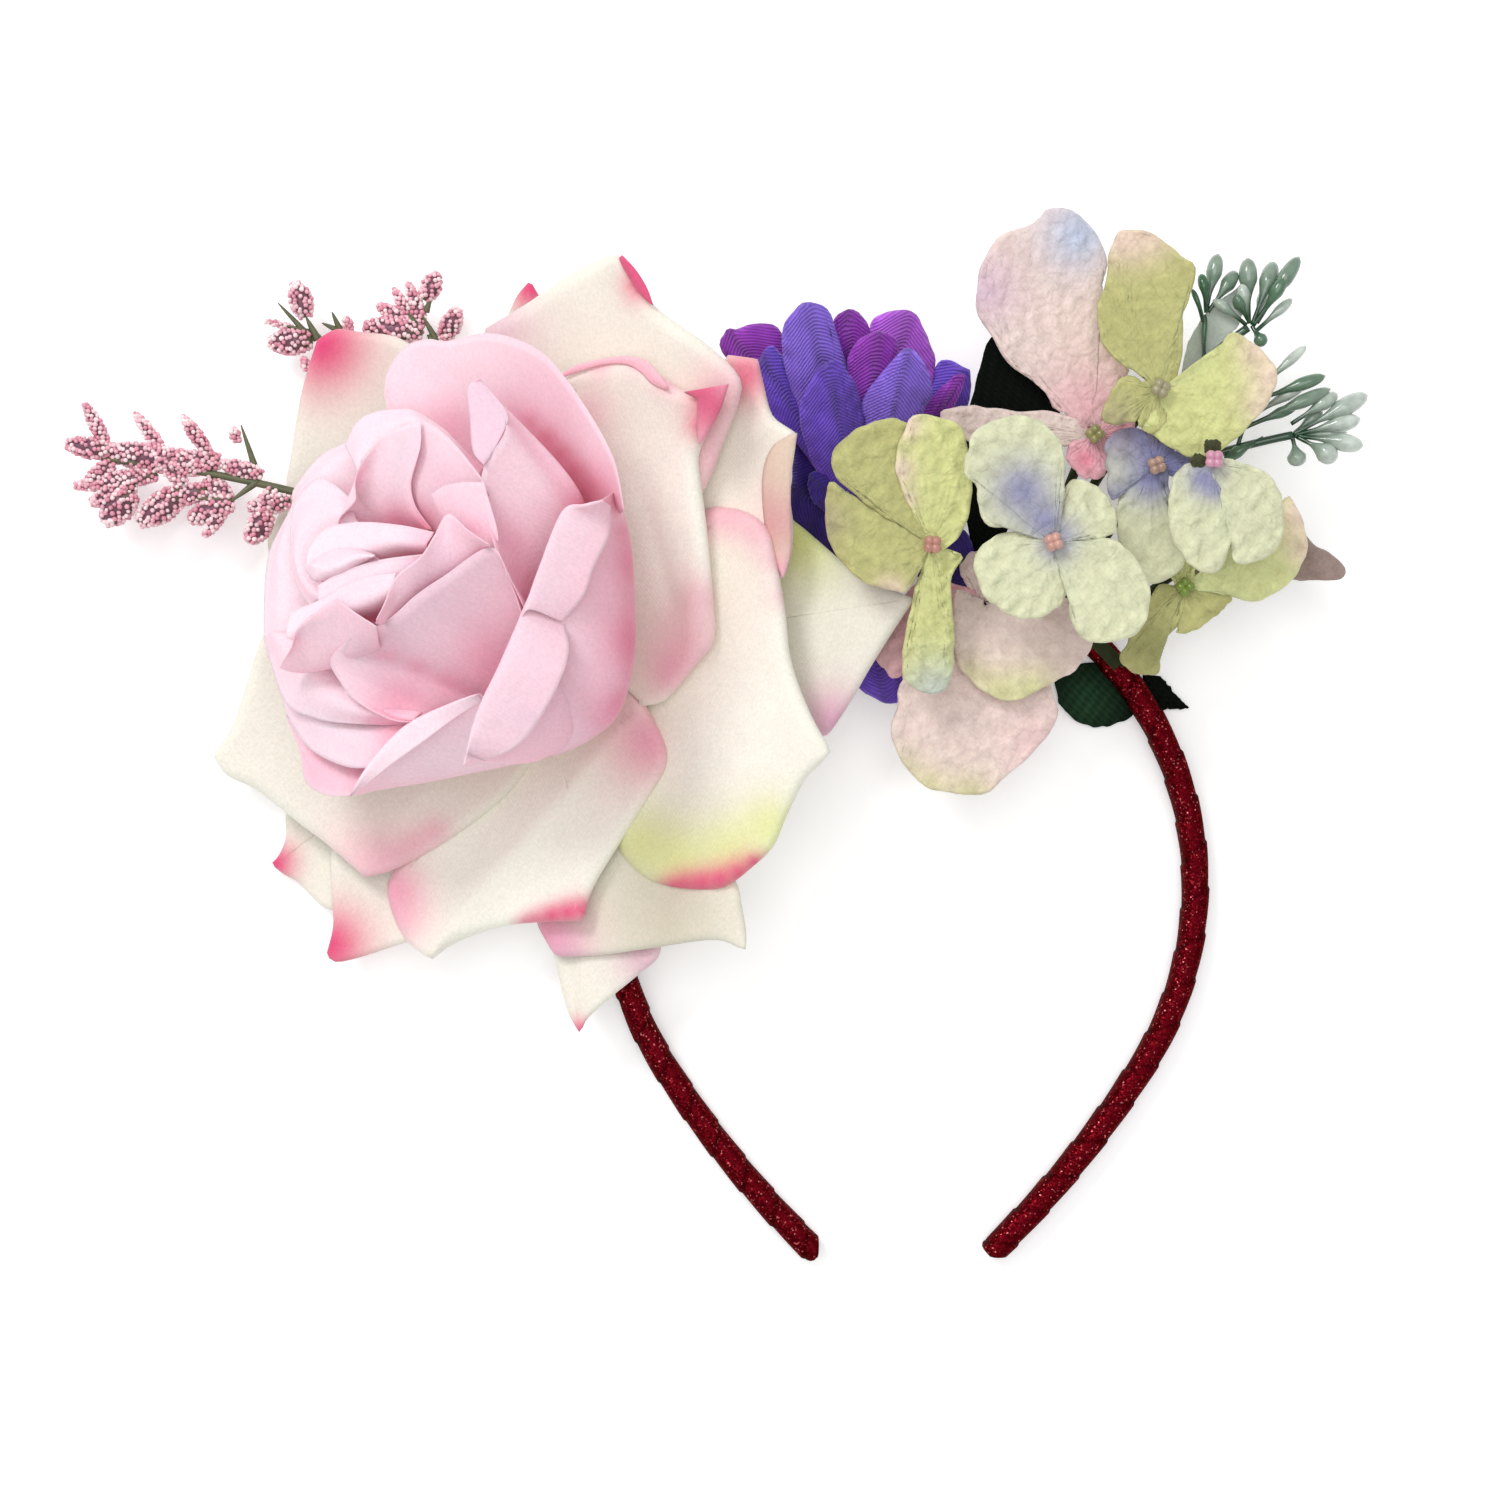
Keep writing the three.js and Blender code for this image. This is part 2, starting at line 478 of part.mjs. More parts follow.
// Lobed flowers: each lobe has its own heading, half span, reach and lift, blended into its neighbours
function lobedDisc(flower, shape) {
  const count = flower.turns.length;
  const angles = [];
  for (let index = 0; index < count; index += 1) {
    const next = (index + 1) % count;
    const nextTurn = flower.turns[next] + (next === 0 ? 360 : 0);
    shape.samples.forEach((sample) => angles.push(flower.turns[index] + sample * flower.spans[index]));
    angles.push((flower.turns[index] + flower.spans[index] + nextTurn - flower.spans[next]) / 2);
  }
  const wrapped = (degrees) => THREE.MathUtils.euclideanModulo(degrees + 180, 360) - 180;
  const apart = (degrees, turn) => Math.abs(wrapped(degrees - turn));
  const rimPoint = (degrees) => {
    const offsets = flower.turns.map((turn, index) => apart(degrees, turn) / flower.spans[index]);
    const nearest = offsets.indexOf(Math.min(...offsets));
    const weights = offsets.map((offset) => Math.max(0, 1 - offset / shape.liftReach) ** 2);
    const total = weights.reduce((sum, weight) => sum + weight, 0);
    const lift = flower.lifts.reduce((sum, value, index) => sum + value * weights[index], 0) / total;
    const round = (1 - Math.min(1, offsets[nearest]) ** shape.blunt) ** shape.fall;
    const reach = flower.reaches[nearest] * (shape.cleft + (1 - shape.cleft) * round);
    const out = Math.max(reach, shape.least);
    const turn = radians(degrees);
    return new THREE.Vector3(
      flower.x + out * Math.cos(turn),
      flower.y + out * Math.sin(turn),
      flower.z + out * Math.tan(radians(lift)),
    );
  };
  return clothDisc(new THREE.Vector3(flower.x, flower.y, flower.z), angles.map(rimPoint));
}

for (const floret of FLORETS) {
  add(`floret_${floret.name}`, lobedDisc(floret, FLORET_LOBE), FINISH[floret.cloth]);
  if (floret.bead) {
    const bead = new THREE.SphereGeometry(BEAD.radius, BEAD.around, BEAD.rows);
    bead.rotateX(Math.PI / 2);
    bead.translate(floret.x, floret.y, floret.z + CLOTH / 2 + SEAT_GAP + BEAD.radius);
    add(`bead_${floret.name}`, bareGeometry(bead), FINISH.bead);
  }
}

for (const tier of PURPLE_TIERS) {
  const z = HOOP.depth + SEAT_GAP + CLOTH / 2 + tier.rise;
  const flower = { ...tier, ...PURPLE, z, spans: tier.turns.map(() => PURPLE_SPAN) };
  add(`purple_${tier.name}`, lobedDisc(flower, PURPLE_LOBE), FINISH.purple);
}

// Stems: a bundle along the crown's front with a bent branch to the back of each floret
const bundlePath = stations
  .filter((station) => station.x > BUNDLE.fromX && station.y > BUNDLE.toY)
  .map((station) => new THREE.Vector3(station.x, station.y, HOOP.depth + SEAT_GAP + BUNDLE.radius));

function branchTo(floret) {
  const end = new THREE.Vector3(floret.x, floret.y, floret.z - CLOTH / 2 - SEAT_GAP);
  const away = (point) => Math.hypot(point.x - end.x, point.y - end.y);
  const start = bundlePath.reduce((best, point) => (away(point) < away(best) ? point : best));
  const bend = start.clone().lerp(end, floret.bow);
  bend.z = THREE.MathUtils.lerp(end.z, start.z + BRANCH.radius, floret.bow);
  return rod(new THREE.QuadraticBezierCurve3(start, bend, end), BRANCH.radius, BRANCH.sides, BRANCH.steps);
}

const bundle = rod(new THREE.CatmullRomCurve3(bundlePath), BUNDLE.radius, BUNDLE.sides, BUNDLE.steps);
add('hydrangea_stems', joined([bundle, ...FLORETS.map(branchTo)]), FINISH.calyx);

// Leaves: pointed cloth blades
function leafSurface(leaf) {
  const heading = radians(leaf.turn);
  return (t, s) => {
    const full = Math.sin(Math.PI * t ** BLADE.belly) ** BLADE.fullness;
    const wide = BLADE.stalk + (1 - BLADE.stalk) * full;
    const aside = s * wide * leaf.half * (1 - BLADE.taper * t ** BLADE.taperPower);
    const out = leaf.length * t;
    return new THREE.Vector3(
      leaf.x + out * Math.cos(heading) - aside * Math.sin(heading),
      leaf.y + out * Math.sin(heading) + aside * Math.cos(heading),
      leaf.z + leaf.rise * t);
  };
}

// A leaf is cut where the hoop crosses it, which leaves one part on each side
const roomScale = (HOOP.width + 2 * SEAT_GAP) / HOOP.width;
const hoopRoom = toSolid(loft(stations.map((station) => hoopRing(station, roomScale))));
for (const leaf of LEAVES) {
  const blade = toSolid(clothWall(leafSurface(leaf), LEAF_STEPS));
  blade.subtract(hoopRoom).decompose().forEach((part, index) => {
    add(`leaf_${leaf.name}_${index + 1}`, fromSolid(part), FINISH.leaf);
  });
}

// Sprigs: a bent stem with forked twigs, each ending in a plump spindle
function sprig(rows) {
  const stem = new THREE.QuadraticBezierCurve3(...rows.stem.map(vector));
  const pieces = [rod(stem, TWIG.stem, TWIG.stemSides, TWIG.steps)];
  rows.twigs.forEach(([fork, turn, length], index) => {
    const from = stem.getPoint(fork);
    const rise = radians(TWIG.rise * (index % 2 ? 1 : -1));
    const way = new THREE.Vector3(
      Math.cos(radians(turn)) * Math.cos(rise), Math.sin(radians(turn)) * Math.cos(rise), Math.sin(rise));
    const neck = from.clone().addScaledVector(way, length * TWIG.neck);
    const tip = from.clone().addScaledVector(way, length);
    const core = new THREE.LineCurve3(from, tip.clone().lerp(neck, TWIG.core));
    pieces.push(rod(core, TWIG.twig, TWIG.twigSides, 1));
    pieces.push(spindle(neck, tip, rows.girth, TWIG.stemSides));
  });
  return joined(pieces);
}

for (const rows of PINK_SPRIGS) {
  add(`pink_sprig_${rows.name}`, sprig(rows), FINISH.blossom);
}
for (const rows of FROST_SPRIGS) {
  add(`frost_sprig_${rows.name}`, sprig(rows), FINISH.frost);
}

export default group;
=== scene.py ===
import math
import random
import bpy
import numpy as np
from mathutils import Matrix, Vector


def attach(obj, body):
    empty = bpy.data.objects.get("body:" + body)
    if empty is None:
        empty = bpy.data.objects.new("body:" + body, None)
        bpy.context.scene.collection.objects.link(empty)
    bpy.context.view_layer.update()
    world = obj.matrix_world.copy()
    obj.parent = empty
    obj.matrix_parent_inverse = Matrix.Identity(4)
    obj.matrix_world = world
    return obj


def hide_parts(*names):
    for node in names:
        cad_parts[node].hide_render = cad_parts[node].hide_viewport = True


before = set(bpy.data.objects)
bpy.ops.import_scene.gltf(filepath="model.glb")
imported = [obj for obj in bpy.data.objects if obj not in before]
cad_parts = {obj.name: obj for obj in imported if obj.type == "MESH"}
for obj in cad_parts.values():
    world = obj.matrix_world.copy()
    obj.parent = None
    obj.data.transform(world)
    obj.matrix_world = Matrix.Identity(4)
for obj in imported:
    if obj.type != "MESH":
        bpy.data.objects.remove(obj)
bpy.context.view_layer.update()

# Camera, light and floor: the headband lies flat and is seen from straight above, about half a metre up.
# The light is white and comes from all round, a little stronger from the upper left.
# Lengths are millimetres until a mesh is made, but those of the lights and the floor are metres.
MM = 0.001
EYE = np.array([-30.7, -38.2, 520.0])
PIXEL_SIZE = 0.2
PIXEL_HEIGHT = 4.0
FRAME_PIXELS = 1500
SENSOR_WIDTH = 36.0
LIGHT_AIM = Vector((-0.045, -0.01, 0.02))
FLOOR_HALF = 3.0
FLOOR_DROP = -0.0002
FLOOR_GREY = (0.93, 0.93, 0.93, 1.0)
FLOOR_PALE = (0.96, 0.96, 0.96, 1.0)
WHITE = (1.0, 1.0, 1.0, 1.0)

scene = bpy.context.scene
scene.view_settings.view_transform = "Standard"
lens = bpy.data.cameras.new("photo_camera")
lens.sensor_width = SENSOR_WIDTH
lens.lens = SENSOR_WIDTH * (EYE[2] - PIXEL_HEIGHT) / (PIXEL_SIZE * FRAME_PIXELS)
camera = bpy.data.objects.new("photo_camera", lens)
camera.location = EYE * MM
scene.collection.objects.link(camera)
scene.camera = camera


def soft_light(name, place, width, power):
    """A round lamp that faces the headband."""
    lamp = bpy.data.lights.new(name, "AREA")
    lamp.shape = "DISK"
    lamp.size = width
    lamp.energy = power
    holder = bpy.data.objects.new(name, lamp)
    holder.location = place
    holder.rotation_euler = (LIGHT_AIM - Vector(place)).to_track_quat("-Z", "Y").to_euler()
    scene.collection.objects.link(holder)


def add_node(tree, kind, sockets=None, **settings):
    """A shader node with its settings; each socket is given a link or a constant value."""
    made = tree.nodes.new("ShaderNode" + kind)
    for name, value in settings.items():
        setattr(made, name, value)
    for socket, value in (sockets or {}).items():
        if isinstance(value, bpy.types.NodeSocket):
            tree.links.new(value, made.inputs[socket])
        else:
            made.inputs[socket].default_value = value
    return made


def new_finish(name):
    """An empty material and its node tree."""
    finish = bpy.data.materials.new(name)
    finish.use_nodes = True
    finish.node_tree.nodes.clear()
    return finish, finish.node_tree


def close_finish(tree, sockets):
    """The skin of a material, put to its output."""
    skin = add_node(tree, "BsdfPrincipled", sockets)
    add_node(tree, "OutputMaterial", {"Surface": skin.outputs["BSDF"]})


def ramp(tree, value, low, high):
    """Colours from low to high, by a value."""
    made = add_node(tree, "ValToRGB", {"Fac": value})
    made.color_ramp.elements[0].color = low
    made.color_ramp.elements[1].color = high
    return made


world = bpy.data.worlds.new("white_room")
world.use_nodes = True
world.node_tree.nodes["Background"].inputs["Color"].default_value = WHITE
world.node_tree.nodes["Background"].inputs["Strength"].default_value = 0.62
scene.world = world
soft_light("ceiling", (-0.05, 0.02, 1.1), width=0.9, power=4.2)
soft_light("window", (-0.42, 0.5, 0.75), width=0.3, power=3.4)

floor_mesh = bpy.data.meshes.new("floor")
floor_mesh.from_pydata(
    [(-FLOOR_HALF, -FLOOR_HALF, FLOOR_DROP), (FLOOR_HALF, -FLOOR_HALF, FLOOR_DROP),
     (FLOOR_HALF, FLOOR_HALF, FLOOR_DROP), (-FLOOR_HALF, FLOOR_HALF, FLOOR_DROP)],
    [], [(0, 1, 2, 3)])
floor_finish, floor_tree = new_finish("pale_floor")
floor_grain = add_node(floor_tree, "TexNoise", {"Scale": 900.0, "Detail": 3.0})
floor_colour = ramp(floor_tree, floor_grain.outputs["Fac"], FLOOR_GREY, FLOOR_PALE)
close_finish(floor_tree, {
    "Base Color": floor_colour.outputs["Color"], "Roughness": 0.9,
    "Emission Color": WHITE, "Emission Strength": 0.22})
floor_mesh.materials.append(floor_finish)
floor = bpy.data.objects.new("floor", floor_mesh)
scene.collection.objects.link(floor)

# Hoop: a sprung plastic bow with a flat back, wound at a slant with dark red glitter ribbon.
# Each turn of the ribbon laps the one before, with a painted shadow along the seam under each lap, and the
# two tips are narrowed and closed.
HOOP_ARCS = [(49.2, 30.0), (67.6, 92.0), (199.0, 13.5)]
HOOP_REACH = 183.6
HOOP_TAPER = 2.4
HOOP_TIP_SHARE = 0.6
HOOP_WIDE = 5.6
HOOP_DEEP = 7.0
HOOP_SQUARE = 0.78
RIBBON_PITCH = 9.0
RIBBON_LAP = 0.3
RIBBON_SLANT = -2.4
# Painted shadow under each lap: the share of each turn where it starts, and how dark it makes the ribbon.
LAP_SHADOW_FROM = 0.9
LAP_SHADOW = 0.6
HOOP_STEP = 0.6
HOOP_SIDES = 36
RIBBON_SPECULAR = (0.3, 0.04, 0.06, 1.0)


def bow_at(run):
    """Place and heading on the bow's middle line, by the way from the crown; the left is negative."""
    x = y = heading = 0.0
    left = abs(run)
    for radius, turn in HOOP_ARCS:
        arc = min(left, radius * math.radians(turn))
        bent = heading - arc / radius
        x += radius * (math.sin(heading) - math.sin(bent))
        y -= radius * (math.cos(heading) - math.cos(bent))
        heading = bent
        left -= arc
    x += left * math.cos(heading)
    y += left * math.sin(heading)
    return (x, y, heading) if run >= 0 else (-x, y, -heading)


def make_piece(name, points, faces, finish, point_colours):
    """A new piece of the headband in the colour given for each point, dye with painted shade or light in
    places, which stays with the whole object.
    """
    mesh = bpy.data.meshes.new(name)
    mesh.from_pydata((np.asarray(points) * MM).tolist(), [], faces)
    mesh.shade_smooth()
    layer = mesh.color_attributes.new("point_colour", "FLOAT_COLOR", "POINT")
    layer.data.foreach_set("color", np.c_[point_colours, np.ones(len(point_colours))].ravel())
    mesh.materials.append(finish)
    piece = bpy.data.objects.new(name, mesh)
    scene.collection.objects.link(piece)
    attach(piece, "root")
    return piece


def ring_faces(rings, sides, start=0):
    """Faces of a closed skin over rings of corners, with a cap at each end."""
    faces = []
    for ring in range(rings - 1):
        for side in range(sides):
            after = (side + 1) % sides
            low = start + ring * sides
            faces.append((low + side, low + after, low + sides + after, low + sides + side))
    faces.append(tuple(start + side for side in reversed(range(sides))))
    faces.append(tuple(start + (rings - 1) * sides + side for side in range(sides)))
    return faces


def tint(red, green, blue):
    """A colour read from 0 to 255 off a screen, as the light values that the shader needs."""
    share = np.array([red, green, blue]) / 255.0
    return np.where(share <= 0.04045, share / 12.92, ((share + 0.055) / 1.055) ** 2.4)


def solid(colour):
    """A colour with no see-through, for a shader's socket."""
    return (*[float(value) for value in colour], 1.0)


GLITTER_DARK = tint(70, 4, 12)
GLITTER_PINK = tint(228, 126, 128)
GLITTER_STOPS = [(0.5, tint(80, 4, 13)), (0.88, tint(112, 10, 22)), (0.97, tint(156, 34, 42))]
hoop_points = []
hoop_lap_shadows = []
hoop_runs = np.arange(-HOOP_REACH, HOOP_REACH + HOOP_STEP / 2, HOOP_STEP)
for run in hoop_runs:
    turn = (run / RIBBON_PITCH) % 1.0
    lap = RIBBON_LAP * turn
    # Painted shadow: the points just short of each lap's step are darkened, as the shade under the lapping
    # edge.
    hoop_lap_shadows += [[LAP_SHADOW if turn > LAP_SHADOW_FROM else 1.0] * 3] * HOOP_SIDES
    for side in range(HOOP_SIDES):
        angle = 2 * math.pi * side / HOOP_SIDES
        wave = math.cos(angle)
        rise = math.sin(angle)
        at = min(max(run + RIBBON_SLANT * wave, -HOOP_REACH), HOOP_REACH)
        tip = min(1.0, max(0.0, (HOOP_REACH - abs(at)) / HOOP_TAPER))
        share = HOOP_TIP_SHARE + (1 - HOOP_TIP_SHARE) * math.sqrt(1 - (1 - tip) ** 2)
        x, y, heading = bow_at(at)
        out = (HOOP_WIDE / 2 - lap) * share * math.copysign(abs(wave) ** HOOP_SQUARE, wave)
        high = (HOOP_DEEP / 2 - lap) * math.copysign(abs(rise) ** HOOP_SQUARE, rise)
        lifted = HOOP_DEEP / 2 + high * (1 if rise < 0 else 0.5 + 0.5 * share)
        hoop_points.append((x - math.sin(heading) * out, y + math.cos(heading) * out, max(0.0, lifted)))

glitter, glitter_tree = new_finish("red_glitter_ribbon")
glitter_place = add_node(glitter_tree, "TexCoord")
glitter_flakes = add_node(
    glitter_tree, "TexVoronoi", {"Vector": glitter_place.outputs["Object"], "Scale": 3800.0})
glitter_pick = add_node(glitter_tree, "SeparateColor", {"Color": glitter_flakes.outputs["Color"]})
glitter_colour = ramp(glitter_tree, glitter_pick.outputs["Red"], solid(GLITTER_DARK), solid(GLITTER_PINK))
for stop, shade in GLITTER_STOPS:
    glitter_colour.color_ramp.elements.new(stop).color = solid(shade)
# The painted lap shadow, carried in each point's colour, darkens the glitter.
glitter_lap_shadow = add_node(glitter_tree, "VertexColor", layer_name="point_colour")
glitter_with_lap_shadow = add_node(
    glitter_tree, "VectorMath",
    {0: glitter_colour.outputs["Color"], 1: glitter_lap_shadow.outputs["Color"]}, operation="MULTIPLY")
glitter_tilt = add_node(
    glitter_tree, "VectorMath", {0: glitter_flakes.outputs["Color"], 1: (0.5, 0.5, 0.5)},
    operation="SUBTRACT")
glitter_lean = add_node(
    glitter_tree, "VectorMath", {0: glitter_tilt.outputs["Vector"], "Scale": 0.5}, operation="SCALE")
glitter_face = add_node(glitter_tree, "NewGeometry")
glitter_sum = add_node(
    glitter_tree, "VectorMath",
    {0: glitter_face.outputs["Normal"], 1: glitter_lean.outputs["Vector"]}, operation="ADD")
glitter_normal = add_node(
    glitter_tree, "VectorMath", {0: glitter_sum.outputs["Vector"]}, operation="NORMALIZE")
glitter_gloss = add_node(
    glitter_tree, "MapRange",
    {"Value": glitter_pick.outputs["Green"], "To Min": 0.2, "To Max": 0.55})
close_finish(glitter_tree, {
    "Base Color": glitter_with_lap_shadow.outputs["Vector"], "Roughness": glitter_gloss.outputs["Result"],
    "Normal": glitter_normal.outputs["Vector"], "Metallic": 0.85, "Specular IOR Level": 0.2,
    "Specular Tint": RIBBON_SPECULAR})
hoop = make_piece("hoop_ribbon", hoop_points, ring_faces(len(hoop_runs), HOOP_SIDES), glitter, hoop_lap_shadows)
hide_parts("hoop")

# Stems: the green plastic post under the rose, and the bundle of wires along the crown to the florets.
# They are moulded and dull, with a faint grain, and mostly hidden by the flowers.
# Painted shade: the stems' dull green is darkened nearly to black, so that where they show they read as
# shadow.
STEM_DARK_AS_SHADE = tint(30, 38, 20)
STEM_PALE_AS_SHADE = tint(58, 68, 36)
stem_finish, stem_tree = new_finish("dull_green_stem")
stem_place = add_node(stem_tree, "TexCoord")
stem_grain = add_node(
    stem_tree, "TexNoise", {"Vector": stem_place.outputs["Object"], "Scale": 420.0, "Detail": 4.0})
stem_colour = ramp(stem_tree, stem_grain.outputs["Fac"], solid(STEM_DARK_AS_SHADE), solid(STEM_PALE_AS_SHADE))
stem_bump = add_node(
    stem_tree, "Bump", {"Height": stem_grain.outputs["Fac"], "Strength": 0.4, "Distance": 0.0002})
close_finish(stem_tree, {
    "Base Color": stem_colour.outputs["Color"], "Roughness": 0.7, "Normal": stem_bump.outputs["Normal"],
    "Specular IOR Level": 0.15})
for node_name in ("rose_post", "hydrangea_stems"):
    stem = bpy.data.objects[node_name]
    stem.data.materials.clear()
    stem.data.materials.append(stem_finish)

# Rose skirt: fourteen large cream petals of woven silk, dyed pink at their tips and rolled edges.
# Each is cut flat, pressed to shape so that its rim rolls back, and threaded on the post under the bud.
ROSE = np.array([-68.0, -18.5, 18.0])
SKIRT_TILT = 18.0
SKIRT_TOWARDS = 185.0
SKIRT_DISH = 12.0
SKIRT_DISH_REACH = 62.0
SKIRT_PITCH = 1.5
SKIRT_FAN = 0.036
SILK_THICK = 0.5
SKIRT_COLUMNS = 84
SKIRT_WAVE = 0.35
SKIRT_LOWEST = 0.6
SKIRT_ROUNDS = 8
FLAP_COLUMNS = 24
FLAP_ROWS = 9
FLAP_START = 0.4
PIXELS_A_MM = 5.0
LINE_STEPS = 16
EDGE_SMOOTH = 9
PETAL_START = 0.05
ROLL_LEAST = 0.35
ROLL_ENDS = 12
RIM_THIN = 0.3
RIM_CELLS = 4
TINY = 1e-9
CREAM = tint(237, 234, 221)
# A whiter cream, painted light on petal middles that lie in shade.
CREAM_PAINTED_LIGHT = tint(252, 252, 240)
PEACH = tint(255, 220, 182)
BLUSH = tint(240, 178, 194)
ROSE_PINK = tint(236, 150, 178)
TIP_PINK = tint(222, 74, 122)
MAUVE = tint(216, 158, 186)
LIME = tint(222, 228, 146)
DUSTY_PINK = tint(214, 158, 160)
SHADED_CREAM = tint(208, 201, 178)
FLAP_ROSE = tint(226, 104, 140)
FLAP_BLUSH = tint(244, 188, 200)
FLAP_PINK = tint(222, 92, 130)
# A darker sand cream, painted shade on a folded-back strip.
FLAP_PAINTED_SHADE = tint(224, 206, 186)
ROOT_DAB_PX = (110, PEACH, 0.28)


def flower_axes(tilt, towards):
    """The right, far and up ways of a flower that leans by a tilt towards a bearing."""
    lean = math.radians(tilt)
    way = math.radians(towards)
    up = np.array([math.sin(lean) * math.cos(way), math.sin(lean) * math.sin(way), math.cos(lean)])
    right = np.array([1.0, 0.0, 0.0]) - up * up[0]
    right /= np.linalg.norm(right)
    return np.array([right, np.cross(up, right), up])


SKIRT_AXES = flower_axes(SKIRT_TILT, SKIRT_TOWARDS)


def seen(across, down, height):
    """The points at these heights that the photograph shows at these pixels."""
    spread = PIXEL_SIZE * (EYE[2] - height) / (EYE[2] - PIXEL_HEIGHT)
    x = EYE[0] + (across - FRAME_PIXELS / 2) * spread
    y = EYE[1] - (down - FRAME_PIXELS / 2) * spread
    return np.stack([x, y, height + 0 * across], -1)


def pixels(points):
    """Where the photograph shows these points, across and down."""
    spread = PIXEL_SIZE * (EYE[2] - points[..., 2]) / (EYE[2] - PIXEL_HEIGHT)
    across = FRAME_PIXELS / 2 + (points[..., 0] - EYE[0]) / spread
    down = FRAME_PIXELS / 2 - (points[..., 1] - EYE[1]) / spread
    return np.stack([across, down], -1)


def glide(a, b, c, d, share):
    """The point a share of the way from b to c, on the smooth line through four points."""
    bend = (2 * a - 5 * b + 4 * c - d) * share * share + (3 * b - a - 3 * c + d) * share ** 3
    return 0.5 * (2 * b + (c - a) * share + bend)


def smooth_line(marks):
    """A smooth line through marks; a mark with a third entry is a corner."""
    corners = [0] + [k for k, mark in enumerate(marks) if len(mark) > 2 and 0 < k < len(marks) - 1]
    corners.append(len(marks) - 1)
    line = []
    for first, last in zip(corners[:-1], corners[1:]):
        run = np.array([mark[:2] for mark in marks[first:last + 1]], float)
        run = np.vstack([2 * run[0] - run[1], run, 2 * run[-1] - run[-2]])
        for k in range(1, len(run) - 2):
            for share in np.arange(LINE_STEPS) / LINE_STEPS:
                line.append(glide(*run[k - 1:k + 3], share))
    line.append(np.array(marks[-1][:2], float))
    return np.array(line)


def even_line(marks, count):
    """Evenly spaced points along the smooth line through marks."""
    line = smooth_line(marks)
    way = np.r_[0, np.cumsum(np.linalg.norm(np.diff(line, axis=0), axis=1))]
    steps = np.linspace(0, way[-1], count)
    return np.stack([np.interp(steps, way, line[:, k]) for k in (0, 1)], 1)


def spread_over(values, width):
    """Each row of values averaged with its neighbours."""
    weights = np.hanning(width + 2)[1:-1]
    padded = np.pad(values, ((width // 2, width // 2), (0, 0)), "edge")
    return np.stack([np.convolve(padded[:, k], weights / weights.sum(), "valid")
                     for k in range(values.shape[1])], 1)


def petal_plan(root, edge, roll, curl, rows=26, roll_rows=11):
    """Pixels of a petal from its root to its rolled edge, the roll's drop, and the share of the way out."""
    root = np.array(root, float)
    tangent = np.gradient(edge, axis=0)
    outward = np.stack([tangent[:, 1], -tangent[:, 0]], 1)
    if np.sum(outward * (edge - root)) < 0:
        outward = -outward
    outward = outward / (np.linalg.norm(outward, axis=1, keepdims=True) + TINY)
    outward = spread_over(outward, EDGE_SMOOTH)
    straight = np.linalg.norm(outward, axis=1, keepdims=True) + TINY
    outward /= straight
    from_end = np.minimum(np.linspace(0, 1, len(edge)), np.linspace(1, 0, len(edge)))
    ends = np.minimum(1.0, ROLL_ENDS * from_end)[:, None]
    radius = roll * (ROLL_LEAST + (1 - ROLL_LEAST) * ends) * np.clip(straight, ROLL_LEAST, 1.0) ** 2
    shoulder = edge - outward * radius * PIXELS_A_MM
    plans = []
    drops = []
    shares = []
    for share in np.linspace(PETAL_START, 1, rows):
        plans.append(root + (shoulder - root) * share)
        drops.append(np.zeros(len(edge)))
        shares.append(np.full(len(edge), share))
    for step in range(1, roll_rows):
        bend = math.radians(curl) * step / (roll_rows - 1)
        plans.append(shoulder + outward * radius * PIXELS_A_MM * math.sin(bend))
        drops.append(radius[:, 0] * (1 - math.cos(bend)))
        shares.append(np.full(len(edge), 1.0))
    return np.array(plans), np.array(drops), np.array(shares)


def dabbed_colour(points, base, dabs):
    """A colour for each point: the base colour with dabs of others, placed and sized in pixels; some dabs
    are dye, some painted shade or light.
    """
    across_down = pixels(points)
    colour = np.tile(base, points.shape[:-1] + (1,))
    for across, down, reach, shade, strength in dabs:
        far = np.hypot(across_down[..., 0] - across, across_down[..., 1] - down)
        share = strength * np.exp(-(far / reach) ** 2)[..., None]
        colour = colour * (1 - share) + shade * share
    return colour


def sewn_piece(name, sheets, thick, finish):
    """One cloth piece: each sheet is a grid of points and their colours, and its wall thins at the rim."""
    points = []
    point_colours = []
    faces = []
    start = 0
    for grid, point_colour in sheets:
        rows, columns = grid.shape[:2]
        normal = np.cross(np.gradient(grid, axis=0), np.gradient(grid, axis=1))
        normal /= np.linalg.norm(normal, axis=2, keepdims=True) + TINY
        count = rows * columns
        rim_rows = np.arange(rows)[::-1, None]
        rim_columns = np.minimum(np.arange(columns), np.arange(columns)[::-1])[None, :]
        inset = np.minimum(rim_rows, rim_columns)
        half = thick / 2 * np.minimum(1, RIM_THIN + inset / RIM_CELLS)[..., None]
        points += [(grid + normal * half).reshape(-1, 3), (grid - normal * half).reshape(-1, 3)]
        point_colours += [point_colour.reshape(-1, 3), point_colour.reshape(-1, 3)]
        index = start + np.arange(count).reshape(rows, columns)
        a, b, c, d = index[:-1, :-1], index[:-1, 1:], index[1:, 1:], index[1:, :-1]
        front = np.stack([a, d, c, b], -1).reshape(-1, 4)
        back = np.stack([a, b, c, d], -1).reshape(-1, 4) + count
        rim = np.concatenate([index[0, :], index[1:, -1], index[-1, -2::-1], index[-2:0:-1, 0]])
        after = np.roll(rim, -1)
        border = np.stack([rim, after, after + count, rim + count], -1)
        faces += front.tolist() + back.tolist() + border.tolist()
        start += 2 * count
    return make_piece(name, np.concatenate(points), faces, finish, np.concatenate(point_colours))


